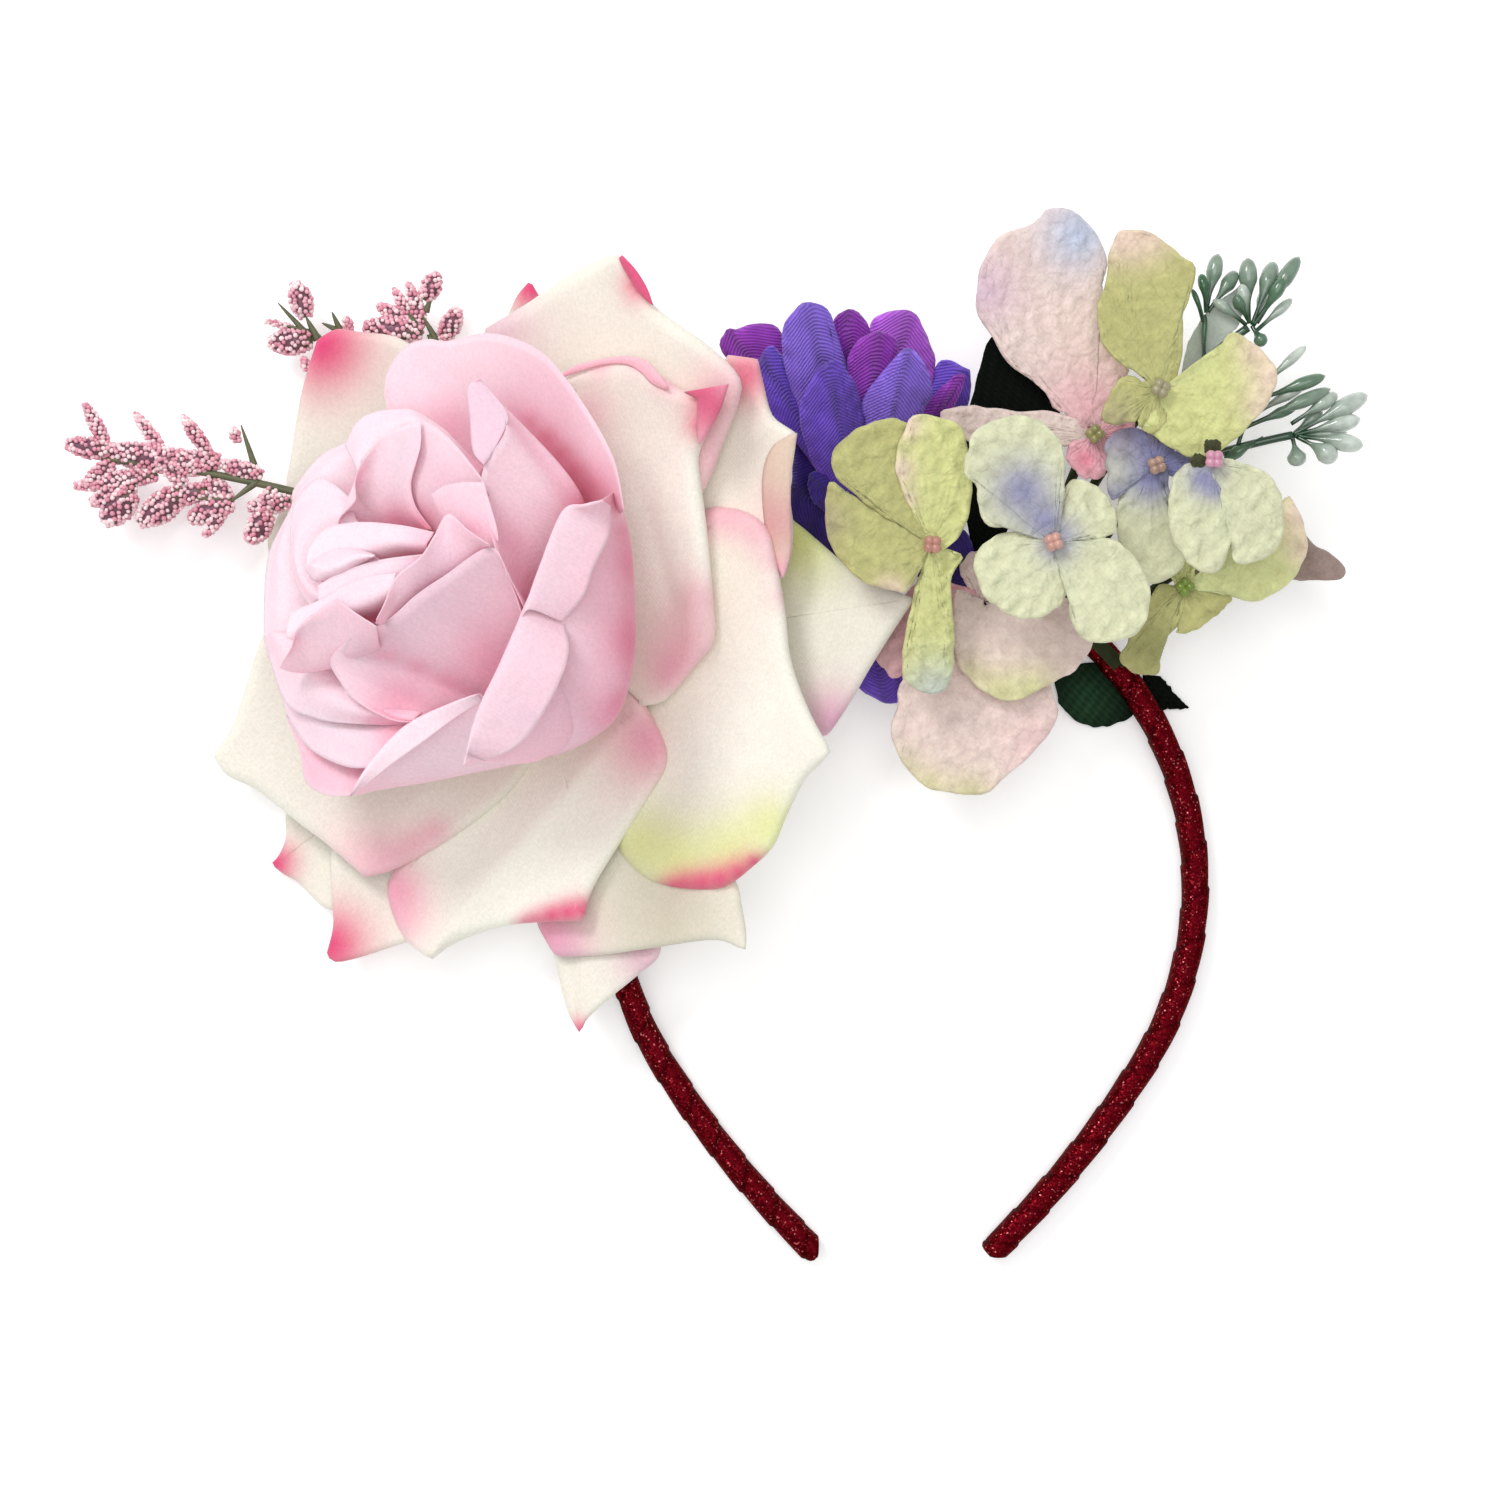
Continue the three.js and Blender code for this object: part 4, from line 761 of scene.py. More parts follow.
# Each sheet of a pink petal: its ring, its colour, traced rows in pixels, folds and dabs of dye, painted
# shade and painted light. A row has heights over the bud's base, spread along it; rows run from the belly to
# the rim, and on to a folded lip.
# The deep, soft and crimson pink dabs are painted shade in hollows and crevices; the pale pink dabs are
# painted light.
BUD_SHEETS = [
    dict(name="crest", ring="outer", shade=PETAL_PINK, rows_px=[
        ((24, 17, 10, 8, 8), [(400, 432), (440, 442), (480, 455), (520, 478), (555, 506), (590, 526),
                              (614, 524)]),
        ((28,), [(384, 396), (388, 370), (406, 346), (428, 339), (447, 341), (484, 333), (516, 339),
                 (544, 354), (566, 379), (588, 411), (606, 442), (617, 470), (624, 510)])],
         # Painted shadow: deep pink and crimson dabs along brow_right's edge fill the crevice; the pale pink
         # dabs are painted light.
         dabs_px=[(585, 507, 30, DEEP_PINK_PAINTED_SHADE, 0.9), (558, 488, 28, DEEP_PINK_PAINTED_SHADE, 0.8),
                  (532, 453, 26, DEEP_PINK_PAINTED_SHADE, 0.7), (508, 420, 22, SOFT_PINK_PAINTED_SHADE, 0.8),
                  (450, 425, 30, SOFT_PINK_PAINTED_SHADE, 0.6), (598, 438, 34, PALE_PINK, 0.9),
                  (480, 362, 60, PALE_PINK, 0.6), (530, 422, 11, CRIMSON_PAINTED_SHADOW, 0.5),
                  (547, 438, 13, CRIMSON_PAINTED_SHADOW, 0.65), (561, 454, 14, CRIMSON_PAINTED_SHADOW, 0.75),
                  (574, 472, 15, CRIMSON_PAINTED_SHADOW, 0.8), (586, 490, 16, CRIMSON_PAINTED_SHADOW, 0.8)]),
    dict(name="flank_upper", ring="outer", shade=PETAL_PINK, rows_px=[
        ((10,), [(618, 500), (630, 545), (634, 600), (633, 660), (618, 712), (590, 738), (552, 757)]),
        ((34,), [(603, 500), (585, 505), (563, 513), (541, 570), (522, 620)]),
        ((28,), [(611, 506), (609, 535), (594, 567), (584, 595), (563, 621)])],
         # Painted shade: deep pink and crimson dabs darken the flank towards its right edge, where it meets
         # the skirt.
         dabs_px=[(638, 560, 28, DEEP_PINK_PAINTED_SHADE, 0.8), (638, 640, 32, DEEP_PINK_PAINTED_SHADE, 0.9),
                  (605, 600, 40, SOFT_PINK_PAINTED_SHADE, 0.35), (600, 690, 50, SOFT_PINK_PAINTED_SHADE, 0.4),
                  (614, 718, 26, DEEP_PINK_PAINTED_SHADE, 0.5), (624, 530, 13, CRIMSON_PAINTED_SHADOW, 0.6),
                  (622, 703, 14, CRIMSON_PAINTED_SHADOW, 0.4),
                  *[(634, down, 14, CRIMSON_PAINTED_SHADOW, 0.36) for down in range(550, 700, 18)]]),
    dict(name="flank_lower", ring="outer", shade=PETAL_PINK, rows_px=[
        ((10,), [(598, 640), (608, 690), (592, 724), (570, 744), (545, 756)]),
        ((31, 33.6, 34, 34, 34), [(541, 572), (523, 614), (500, 667), (484, 700), (474, 730), (469, 764)]),
        ((24, 27.6, 28, 27.5, 31), [
            (588, 585), (566, 619), (569, 648), (562, 676), (541, 717), (515, 748), (469, 766)])],
         dabs_px=[(634, 670, 32, DEEP_PINK_PAINTED_SHADE, 0.7), (600, 690, 50, SOFT_PINK_PAINTED_SHADE, 0.4),
                  (535, 720, 30, GREY_PINK, 0.5), (600, 730, 30, DEEP_PINK_PAINTED_SHADE, 0.5)]),
    # The chin's pale pink is partly painted light, lifting its shaded wall.
    dict(name="chin", ring="outer", shade=PALE_PINK, rows_px=[
        ((9,), [(381, 783), (425, 781), (469, 773), (512, 764), (547, 754)]),
        ((25,), [(352, 795), (373, 762), (409, 726), (455, 706), (484, 697)]),
        ((24.4,), [(352, 796), (388, 767), (424, 741), (455, 718), (484, 700)])],
         dabs_px=[(540, 745, 30, SOFT_PINK_PAINTED_SHADE, 0.6)]),
    dict(name="cheek_low", ring="outer", shade=PETAL_PINK, rows_px=[
        ((17,), [(302, 712), (316, 735), (336, 752), (362, 764), (385, 770)]),
        ((18,), [(288, 712), (296, 740), (301, 757), (306, 782), (325, 795), (352, 796)])],
         dabs_px=[(365, 775, 20, SOFT_PINK_PAINTED_SHADE, 0.6), (312, 772, 30, SOFT_PINK_PAINTED_SHADE, 0.4)]),
    dict(name="jaw_right", ring="second", shade=PALE_PINK, rows_px=[
        ((23,), [(305, 690), (330, 706), (360, 716), (395, 724), (418, 728)]),
        ((22,), [(282, 696), (288, 716), (301, 739), (317, 754), (347, 767), (374, 768)])],
         dabs_px=[(395, 735, 24, SOFT_PINK_PAINTED_SHADE, 0.7)]),
    dict(name="jaw_right", ring="second", shade=PALE_PINK, rows_px=[
        ((28, 28, 28, 27, 23), [(292, 632), (322, 664), (350, 690), (385, 706), (420, 714)]),
        ((26, 26, 26, 26, 22), [(265, 636), (272, 668), (286, 704), (311, 717), (342, 723), (412, 726)])],
         dabs_px=[(385, 718, 26, SOFT_PINK_PAINTED_SHADE, 0.7)]),
    dict(name="cheek_high", ring="outer", shade=PALE_PINK, rows_px=[
        ((24.5,), [(372, 462), (345, 486), (320, 506), (308, 530), (304, 562), (306, 592), (304, 620),
                   (300, 655)]),
        ((25,), [(347, 442), (319, 457), (294, 489), (291, 507), (272, 545), (266, 570), (264, 600),
                 (264, 639), (268, 658)])]),
    dict(name="brow_right", ring="second", shade=PETAL_PINK, rows_px=[
        ((18,), [(585, 505), (576, 530), (562, 560), (550, 600), (542, 640)]),
        ((38, 38, 38, 38, 37, 32), [
            (480, 379), (506, 425), (486, 461), (481, 489), (486, 514), (496, 551), (512, 587),
            (524, 622)])],
         # The deep and soft pink dabs are painted shade; the pale pink dab is painted light.
         dabs_px=[(585, 508, 26, DEEP_PINK_PAINTED_SHADE, 0.6), (520, 590, 26, SOFT_PINK_PAINTED_SHADE, 0.7),
                  (503, 545, 24, SOFT_PINK_PAINTED_SHADE, 0.5), (530, 480, 40, PALE_PINK, 0.8)]),
    dict(name="brow_right", ring=None, shade=GREY_PINK, rows_px=[
        ((37.8,), [(480, 379), (506, 411), (505, 429), (487, 462)]),
        ((39.0,), [(479, 379), (468, 388), (470, 420), (473, 451), (484, 465)])]),
    dict(name="brow_left", ring="second", shade=PALE_PINK, rows_px=[
        ((31,), [(372, 512), (372, 486), (384, 464), (398, 450), (420, 440), (450, 458), (480, 490)]),
        ((34.5,), [(358, 472), (364, 450), (380, 434), (400, 426), (418, 423), (447, 442), (480, 476)]),
        ((32,), [(345, 446), (356, 423), (375, 412), (400, 409), (416, 411), (444, 429), (469, 454),
                 (485, 468)])], dabs_px=[(470, 468, 24, SOFT_PINK_PAINTED_SHADE, 0.6)]),
    dict(name="jaw_left", ring="second", shade=PALE_PINK, rows_px=[
        ((31,), [(368, 532), (346, 530), (328, 538), (318, 550), (314, 562), (317, 578), (326, 590),
                 (338, 598)]),
        ((31,), [(352, 500), (335, 485), (317, 478), (297, 498), (291, 523), (291, 557), (297, 586),
                 (310, 606)])]),
    dict(name="scoop", ring="third", shade=PETAL_PINK, rows_px=[
        ((20, 16, 13, 12, 12, 14, 20), [
            (552, 630), (535, 690), (505, 725), (480, 736), (465, 732), (450, 722), (436, 712)]),
        ((32, 39, 41, 41, 41, 40, 38, 33, 28, 25.2), [
            (526, 612), (508, 575), (490, 547), (444, 576), (416, 595), (387, 620), (344, 642), (328, 658),
            (340, 682), (355, 700), (382, 716), (404, 722), (427, 718)])],
         folds_px=[(335, 653, 385, 656, -1.4, 10), (385, 656, 475, 698, -2.6, 13)],
         # The soft pink dabs along the fold and in the lower part are painted shade; the grey pink dabs are
         # dye.
         dabs_px=[(440, 605, 50, GREY_PINK, 0.5), (375, 640, 32, GREY_PINK, 0.6),
                  (385, 656, 10, SOFT_PINK_PAINTED_SHADE, 0.6), (420, 670, 12, SOFT_PINK_PAINTED_SHADE, 0.7),
                  (450, 686, 14, SOFT_PINK_PAINTED_SHADE, 0.8), (400, 700, 30, SOFT_PINK_PAINTED_SHADE, 0.7),
                  (490, 660, 35, SOFT_PINK_PAINTED_SHADE, 0.7)]),
    dict(name="fold_top", ring="third", shade=PALE_PINK, rows_px=[
        ((30,), [(396, 508), (424, 522), (445, 530), (470, 522), (490, 506)]),
        ((38,), [(396, 432), (422, 421), (450, 439), (480, 476), (489, 494)])],
         dabs_px=[(422, 520, 20, DEEP_PINK_PAINTED_SHADE, 0.6), (445, 480, 24, SOFT_PINK_PAINTED_SHADE, 0.35)]),
    dict(name="fold_top", ring="third", shade=PALE_PINK, rows_px=[
        ((30,), [(345, 532), (366, 520), (390, 516), (414, 524), (432, 534)]),
        ((39, 39, 39, 39, 39, 38.2, 36, 33.6, 32), [
            (356, 500), (356, 476), (369, 451), (388, 431), (421, 420, "corner"), (420, 448), (411, 479),
            (415, 505), (432, 530)])],
         dabs_px=[(398, 522, 20, DEEP_PINK_PAINTED_SHADE, 0.6), (425, 528, 16, DEEP_PINK_PAINTED_SHADE, 0.7)]),
    dict(name="fold_left", ring="third", shade=PALE_PINK, rows_px=[
        ((39,), [(430, 552), (402, 552), (372, 560), (346, 565), (328, 570), (320, 577), (326, 582)]),
        ((42,), [(434, 532), (400, 525), (359, 522), (325, 529), (308, 551), (309, 576), (325, 584)])],
         dabs_px=[(425, 540, 18, SOFT_PINK_PAINTED_SHADE, 0.5)]),
    dict(name="swirl_low", ring="inner", shade=PETAL_PINK, rows_px=[
        ((33,), [(290, 668), (306, 672), (330, 668), (354, 662), (386, 648)]),
        ((42, 44, 44), [(292, 646), (297, 629), (312, 614), (337, 598, "corner"), (353, 611), (376, 626)])]),
    dict(name="swirl_high", ring="inner", shade=PETAL_PINK, rows_px=[
        ((35,), [(442, 524), (458, 538), (476, 550), (498, 548)]),
        ((40,), [(431, 495), (444, 486), (462, 482), (484, 482)])],
         dabs_px=[(468, 535, 16, SOFT_PINK_PAINTED_SHADE, 0.7)]),
    dict(name="swirl_high", ring="inner", shade=PETAL_PINK, rows_px=[
        ((37, 37, 37, 37, 38, 40), [
            (490, 552), (470, 564), (448, 578), (426, 593), (404, 610), (384, 624)]),
        ((43.5,), [(490, 545), (468, 530), (448, 514), (434, 536), (421, 556), (396, 577), (384, 604),
                   (376, 620)])], dabs_px=[(435, 570, 40, GREY_PINK, 0.6)]),
    dict(name="heart", ring="inner", shade=PALE_PINK, rows_px=[
        ((40,), [(298, 640), (330, 622), (352, 616), (376, 606), (396, 596)]),
        ((42.6,), [(290, 612), (326, 597), (346, 584), (370, 576), (396, 573)])]),
    dict(name="heart", ring="inner", shade=PALE_PINK, rows_px=[
        ((39.6, 39.6, 38), [(330, 606), (352, 598), (386, 588), (412, 576)]),
        ((42.5, 42.5, 41.4), [(317, 586), (335, 575), (354, 567), (384, 559), (424, 554)])],
         dabs_px=[(425, 566, 18, SOFT_PINK_PAINTED_SHADE, 0.6)]),
    dict(name="heart", ring="core", shade=PALE_PINK, rows_px=[
        ((41.4,), [(309, 567), (320, 581), (340, 577), (360, 567), (376, 557)]),
        ((43.8,), [(310, 565), (325, 568), (342, 563), (358, 557), (375, 556)]),
        ((41.6,), [(311, 563), (322, 553), (340, 547), (358, 549), (375, 555)])]),
]


def on_bud(heights, marks):
    """Points at heights over the bud's base that the photograph shows on the line through marks."""
    row = even_line(marks, BUD_COLUMNS)
    high = np.interp(np.linspace(0, 1, BUD_COLUMNS), np.linspace(0, 1, len(heights)), heights)
    ray = seen(row[:, 0], row[:, 1], np.zeros(len(row))) - EYE
    reach = (high - (EYE - BUD_BASE) @ BUD_AXES[2]) / (ray @ BUD_AXES[2])
    return (EYE + ray * reach[:, None] - BUD_BASE) @ BUD_AXES.T


def lofted(rows, spans):
    """A smooth grid through rows of points, with a number of steps between each two."""
    rows = [2 * rows[0] - rows[1], *rows, 2 * rows[-1] - rows[-2]]
    grid = []
    for k in range(1, len(rows) - 2):
        for share in np.arange(spans) / spans:
            grid.append(glide(*rows[k - 1:k + 3], share))
    grid.append(rows[-2])
    return np.array(grid)


def bud_sheet(sheet):
    """One sheet of a pink petal as a grid and its colours, dye with painted shade; one without a ring has no
    root of its own.
    """
    rows = [on_bud(heights, marks) for heights, marks in sheet["rows_px"]]
    if sheet["ring"] is not None:
        turn = np.unwrap(np.arctan2(rows[1][:, 1], rows[1][:, 0]))
        far, high, spread = BUD_ROOTS[sheet["ring"]]
        turn = turn.mean() + spread * (turn - turn.mean())
        rows.insert(0, np.stack([far * np.cos(turn), far * np.sin(turn), 0 * turn + high], 1))
    grid = lofted(rows, BUD_SPANS) @ BUD_AXES + BUD_BASE
    grid = grid + fold_height(pixels(grid), sheet.get("folds_px", []))[..., None] * BUD_AXES[2]
    face = np.cross(np.gradient(grid, axis=0), np.gradient(grid, axis=1))
    steep = 1 - np.abs(face[..., 2:]) / (np.linalg.norm(face, axis=2, keepdims=True) + TINY)
    point_colour = dabbed_colour(grid, sheet["shade"], sheet.get("dabs_px", []))
    # Painted shade: steep walls, turned away from the light above, are tinted deeper pink.
    point_colour = point_colour + (SOFT_PINK_PAINTED_SHADE - point_colour) * STEEP_PAINTED_SHADE * steep
    if sheet["ring"] is not None:
        depth = np.linspace(0, len(rows) - 1, len(grid))[:, None, None]
        near_rim = 1 - (len(rows) - 1 - depth) / RIM_GREY_SPAN
        # Deeper pink towards the root: dye, and also painted shade for the depth of the cup.
        point_colour = point_colour + (DEEP_PINK_PAINTED_SHADE - point_colour) * ROOT_DYE_AND_PAINTED_SHADE * np.clip(ROOT_DYE_AND_SHADE_END - depth, 0, 1)
        point_colour = point_colour + (GREY_PINK - point_colour) * RIM_GREY * np.clip(near_rim, 0, 1)
    return grid, point_colour


pink_silk = cloth_finish(
    "pink_silk", threads=700.0, contrast=0.03, mottle=0.05, bump=0.12, roughness=0.8, sheen=0.15,
    glow=0.35, gloss=0.2)
for name in dict.fromkeys(sheet["name"] for sheet in BUD_SHEETS):
    sheets = [bud_sheet(sheet) for sheet in BUD_SHEETS if sheet["name"] == name]
    piece = sewn_piece("bud_" + name, sheets, BUD_THICK, pink_silk)
    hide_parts("rose_bud_" + name)

# Purple flower: three tiers of ribbed violet cloth petals, some magenta and some blue, crowded on the crown.
# Each petal is a pressed oval with a soft keel, and the tiers are glued one on the other beside the rose.
# Each petal's keel and one half are painted darker as shade, its colour is lifted a little as painted light,
# and its ribs are painted in light and dark stripes.
PURPLE = np.array([-8.0, 6.0])
PURPLE_TIERS = {"outer": 7.8, "middle": 9.6, "inner": 11.4}
PURPLE_THICK = 0.5
PURPLE_STEP = 0.25
PURPLE_ROOT_PX = (863, 529)
VIOLET = tint(106, 70, 196)
BLUE_VIOLET = tint(130, 97, 212)
MAGENTA = tint(142, 46, 174)
LILAC = tint(172, 84, 208)
DEEP_VIOLET = tint(52, 22, 132)
ROOT_VIOLET_PX = (95, DEEP_VIOLET, 0.85)
RIB_PITCH = 0.75
RIB_SLANT = 0.9
SIDE_MAGENTA = 0.4
# Painted light that lifts each violet petal's colour, and painted shade along its keel and on one half.
VIOLET_PAINTED_LIGHT = 1.06
KEEL_PAINTED_SHADOW = 0.4
KEEL_HALF = 0.05
SIDE_PAINTED_SHADE = 0.2
LOBE_COLUMNS = 64
LOBE_ROUNDS = 4
LOBE_BUMPS = 7
RAGGED_PX = 1.0
RAGGED_SMOOTH = 3
BUMP_PITCH_PX = (12, 30)
BUMP_HIGH = 0.24
VEIN_HIGH = 0.5
FINE_VEIN_HIGH = 0.35
# How far the crinkle relief is painted lighter and darker, as painted light and shade.
RELIEF_PAINTED_SHADE = 0.2
# Each violet petal: its tier, colour, lift in degrees and rim in pixels
PURPLE_PETALS = [
    dict(tier="outer", shade=MAGENTA, lift=10,
         edge_px=[(830, 480), (775, 410), (722, 353), (724, 336), (727, 326, "corner"), (736, 329),
                  (751, 324), (770, 325), (780, 332), (800, 370), (835, 460)]),
    dict(tier="outer", shade=MAGENTA, lift=14,
         edge_px=[(845, 480), (834, 380), (833, 325), (843, 311), (854, 310), (863, 316), (870, 328),
                  (872, 360), (868, 470)]),
    dict(tier="outer", shade=LILAC, lift=13,
         edge_px=[(865, 480), (866, 370), (871, 325), (885, 314), (899, 309), (913, 311), (922, 322),
                  (930, 342), (936, 364), (925, 410), (890, 490)]),
    dict(tier="outer", shade=VIOLET, lift=10,
         edge_px=[(885, 490), (920, 410), (936, 366), (950, 361), (972, 370, "corner"), (968, 403),
                  (950, 430), (900, 505)]),
    dict(tier="outer", shade=DEEP_VIOLET, lift=6,
         edge_px=[(850, 515), (815, 470), (797, 437), (792, 476), (790, 525), (812, 548), (840, 572),
                  (858, 538)]),
    dict(tier="outer", shade=VIOLET, lift=3,
         edge_px=[(852, 545), (848, 640), (856, 684), (870, 697), (896, 703), (903, 680), (895, 600),
                  (880, 548)]),
    dict(tier="outer", shade=DEEP_VIOLET, lift=8,
         edge_px=[(878, 512), (940, 535), (961, 528), (976, 549), (973, 580), (952, 595), (930, 586),
                  (885, 545)]),
    dict(tier="middle", shade=BLUE_VIOLET, lift=18,
         edge_px=[(835, 490), (795, 400), (781, 350), (783, 331), (793, 311), (805, 302), (818, 304),
                  (831, 314), (838, 333), (846, 362), (856, 400), (860, 490)]),
    dict(tier="middle", shade=VIOLET, lift=12,
         edge_px=[(835, 510), (797, 434), (784, 429), (770, 412), (760, 387), (756, 364), (765, 350),
                  (776, 347), (790, 370), (803, 400), (843, 490)]),
    dict(tier="middle", shade=MAGENTA, lift=18,
         edge_px=[(855, 490), (848, 400), (847, 359), (857, 342), (874, 332), (894, 336), (898, 353),
                  (893, 400), (875, 490)]),
    dict(tier="middle", shade=MAGENTA, lift=13,
         edge_px=[(880, 500), (915, 425), (940, 388), (957, 374), (966, 378), (955, 405), (935, 440),
                  (895, 512)]),
    dict(tier="inner", shade=VIOLET, lift=26,
         edge_px=[(838, 510), (808, 450), (800, 423), (801, 403), (812, 378), (823, 364), (840, 360),
                  (852, 380), (861, 401), (864, 440), (862, 500)]),
    dict(tier="inner", shade=BLUE_VIOLET, lift=24,
         edge_px=[(865, 500), (862, 420), (863, 398), (880, 375), (896, 356), (908, 349), (922, 359),
                  (930, 375), (933, 392), (922, 415), (888, 500)]),
    dict(tier="inner", shade=DEEP_VIOLET, lift=16,
         edge_px=[(848, 522), (815, 505), (808, 480), (816, 470), (835, 475), (852, 505)]),
]

ribbed, ribbed_tree = new_finish("ribbed_violet_cloth")
ribbed_dye = add_node(ribbed_tree, "VertexColor", layer_name="point_colour")
ribbed_place = add_node(ribbed_tree, "TexCoord")
ribbed_blot = add_node(ribbed_tree, "TexNoise", {
    "Vector": ribbed_place.outputs["Object"], "Scale": 130.0, "Detail": 4.0})
ribbed_slant = add_node(ribbed_tree, "Attribute", attribute_name="slant")
ribbed_turn = add_node(ribbed_tree, "Math", {
    0: ribbed_slant.outputs["Fac"], 1: 2 * math.pi / RIB_PITCH}, operation="MULTIPLY")
ribbed_drift = add_node(ribbed_tree, "Math", {
    0: ribbed_blot.outputs["Fac"], 1: 6.0, 2: ribbed_turn.outputs["Value"]}, operation="MULTIPLY_ADD")
ribbed_wave = add_node(ribbed_tree, "Math", {0: ribbed_drift.outputs["Value"]}, operation="SINE")
# Painted light and shade: the colour goes lighter and darker with each rib's wave.
ribbed_painted_light_and_shade = add_node(ribbed_tree, "MapRange", {
    "Value": ribbed_wave.outputs["Value"], "From Min": -1.0, "To Min": 0.76, "To Max": 1.26})
ribbed_patch = add_node(ribbed_tree, "MapRange", {
    "Value": ribbed_blot.outputs["Fac"], "From Min": 0.3, "From Max": 0.7, "To Min": 0.75, "To Max": 1.1})
ribbed_shade = add_node(ribbed_tree, "Math", {
    0: ribbed_painted_light_and_shade.outputs["Result"], 1: ribbed_patch.outputs["Result"]}, operation="MULTIPLY")
ribbed_colour = add_node(ribbed_tree, "VectorMath", {
    0: ribbed_dye.outputs["Color"], "Scale": ribbed_shade.outputs["Value"]}, operation="SCALE")
ribbed_bump = add_node(ribbed_tree, "Bump", {
    "Height": ribbed_wave.outputs["Value"], "Strength": 0.5, "Distance": 0.0002})
close_finish(ribbed_tree, {
    "Base Color": ribbed_colour.outputs["Vector"], "Normal": ribbed_bump.outputs["Normal"],
    "Roughness": 0.62, "Sheen Weight": 0.12})


def lobe_sheet(root, edge_marks, centre, base_high, lift, roll, curl, keel, crinkle, seed, base, dabs):
    """A petal as a grid and its colours: it rises from a centre, keeled and crinkled, its rim turned down,
    and its crinkles are painted lighter on their rises and darker in their hollows.
    """
    edge = even_line(edge_marks, LOBE_COLUMNS)
    chance = np.random.default_rng(seed)
    edge = edge + spread_over(chance.normal(0, RAGGED_PX, edge.shape), RAGGED_SMOOTH)
    plan, drop, share = petal_plan(root, edge, roll, curl, rows=22, roll_rows=6)
    height = np.full(drop.shape, base_high)
    for _ in range(LOBE_ROUNDS):
        place = seen(plan[..., 0], plan[..., 1], height)
        out = np.hypot(place[..., 0] - centre[0], place[..., 1] - centre[1])
        height = base_high + out * math.tan(math.radians(lift))
    across = np.linspace(-1, 1, edge.shape[0])[None, :]
    height = height - drop + keel * (0.7 - np.abs(across)) * share ** 0.8
    bumps = np.zeros(drop.shape)
    for _ in range(LOBE_BUMPS):
        way = chance.uniform(0, 2 * math.pi)
        pitch = chance.uniform(*BUMP_PITCH_PX)
        bumps += np.sin((plan[..., 0] * math.cos(way) + plan[..., 1] * math.sin(way)) / pitch * 2 * math.pi
                        + chance.uniform(0, 6))
    veins = np.abs(np.sin(across * 6.5 + 0.5 * np.sin(9 * share))) ** 0.5
    fine = np.abs(np.sin(across * 21 + 0.8 * np.sin(7 * share + seed))) ** 0.5
    vein_relief = VEIN_HIGH * (veins - 0.7) + FINE_VEIN_HIGH * (fine - 0.7)
    relief = BUMP_HIGH * bumps * share + vein_relief * np.sin(math.pi * share)
    grid = seen(plan[..., 0], plan[..., 1], height + crinkle * relief)
    # Painted light and shade: the colour is lifted where the relief rises and darkened where it sinks.
    relief_painted_light_and_shade = 1 + RELIEF_PAINTED_SHADE * crinkle * np.clip(relief, -1, 1)
    return grid, dabbed_colour(grid, base, dabs) * relief_painted_light_and_shade[..., None]


for tier, tier_high in PURPLE_TIERS.items():
    sheets = []
    slants = []
    for number, petal in enumerate(PURPLE_PETALS):
        if petal["tier"] == tier:
            grid, point_colour = lobe_sheet(
                PURPLE_ROOT_PX, petal["edge_px"], PURPLE, tier_high + PURPLE_STEP * number, petal["lift"],
                roll=1.2, curl=70, keel=4.0, crinkle=0.5, seed=100 + number, base=petal["shade"],
                dabs=[(*PURPLE_ROOT_PX, *ROOT_VIOLET_PX)])
            across = np.linspace(-1, 1, point_colour.shape[1])[None, :, None]
            point_colour = point_colour + (MAGENTA - point_colour) * SIDE_MAGENTA * np.abs(across) ** 3
            # Painted shade: a dark line along the keel and a darker half on one side, over a colour lifted
            # as painted light.
            keel_painted_shadow = KEEL_PAINTED_SHADOW * np.exp(-(across / KEEL_HALF) ** 2)
            side_painted_shade = SIDE_PAINTED_SHADE * np.clip(4 * across, 0, 1)
            sheets.append((grid, point_colour * (VIOLET_PAINTED_LIGHT - keel_painted_shadow - side_painted_shade)))
            reach = grid - grid[0, 0]
            keel_way = reach[-1, reach.shape[1] // 2]
            keel_way = keel_way / np.linalg.norm(keel_way)
            along = reach @ keel_way
            aside = np.linalg.norm(reach - along[..., None] * keel_way, axis=2)
            slants += [(along + RIB_SLANT * aside).ravel()] * 2
    piece = sewn_piece("violet_" + tier, sheets, PURPLE_THICK, ribbed)
    slant_layer = piece.data.attributes.new("slant", "FLOAT", "POINT")
    slant_layer.data.foreach_set("value", np.concatenate(slants))
    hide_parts("purple_" + tier)

# Leaves: very dark green woven cloth, stiffened and pressed with a midrib, one behind the florets.
# The lower one is glued to the hoop's edge, so that its blade shows in a part on each side of the hoop.
# The leaves' near-black green is partly painted shade, darkened to stand for the shadow that the upper leaf
# lies in.
LEAF_DARK_WITH_PAINTED_SHADE = tint(4, 12, 6)
LEAF_LIGHT = tint(52, 92, 62)
LEAF_THICK = 0.5
leaf_cloth = cloth_finish(
    "dark_leaf_cloth", threads=420.0, contrast=0.5, mottle=0.2, bump=0.6, roughness=0.7, sheen=0.0,
    glow=0.0, gloss=0.08)
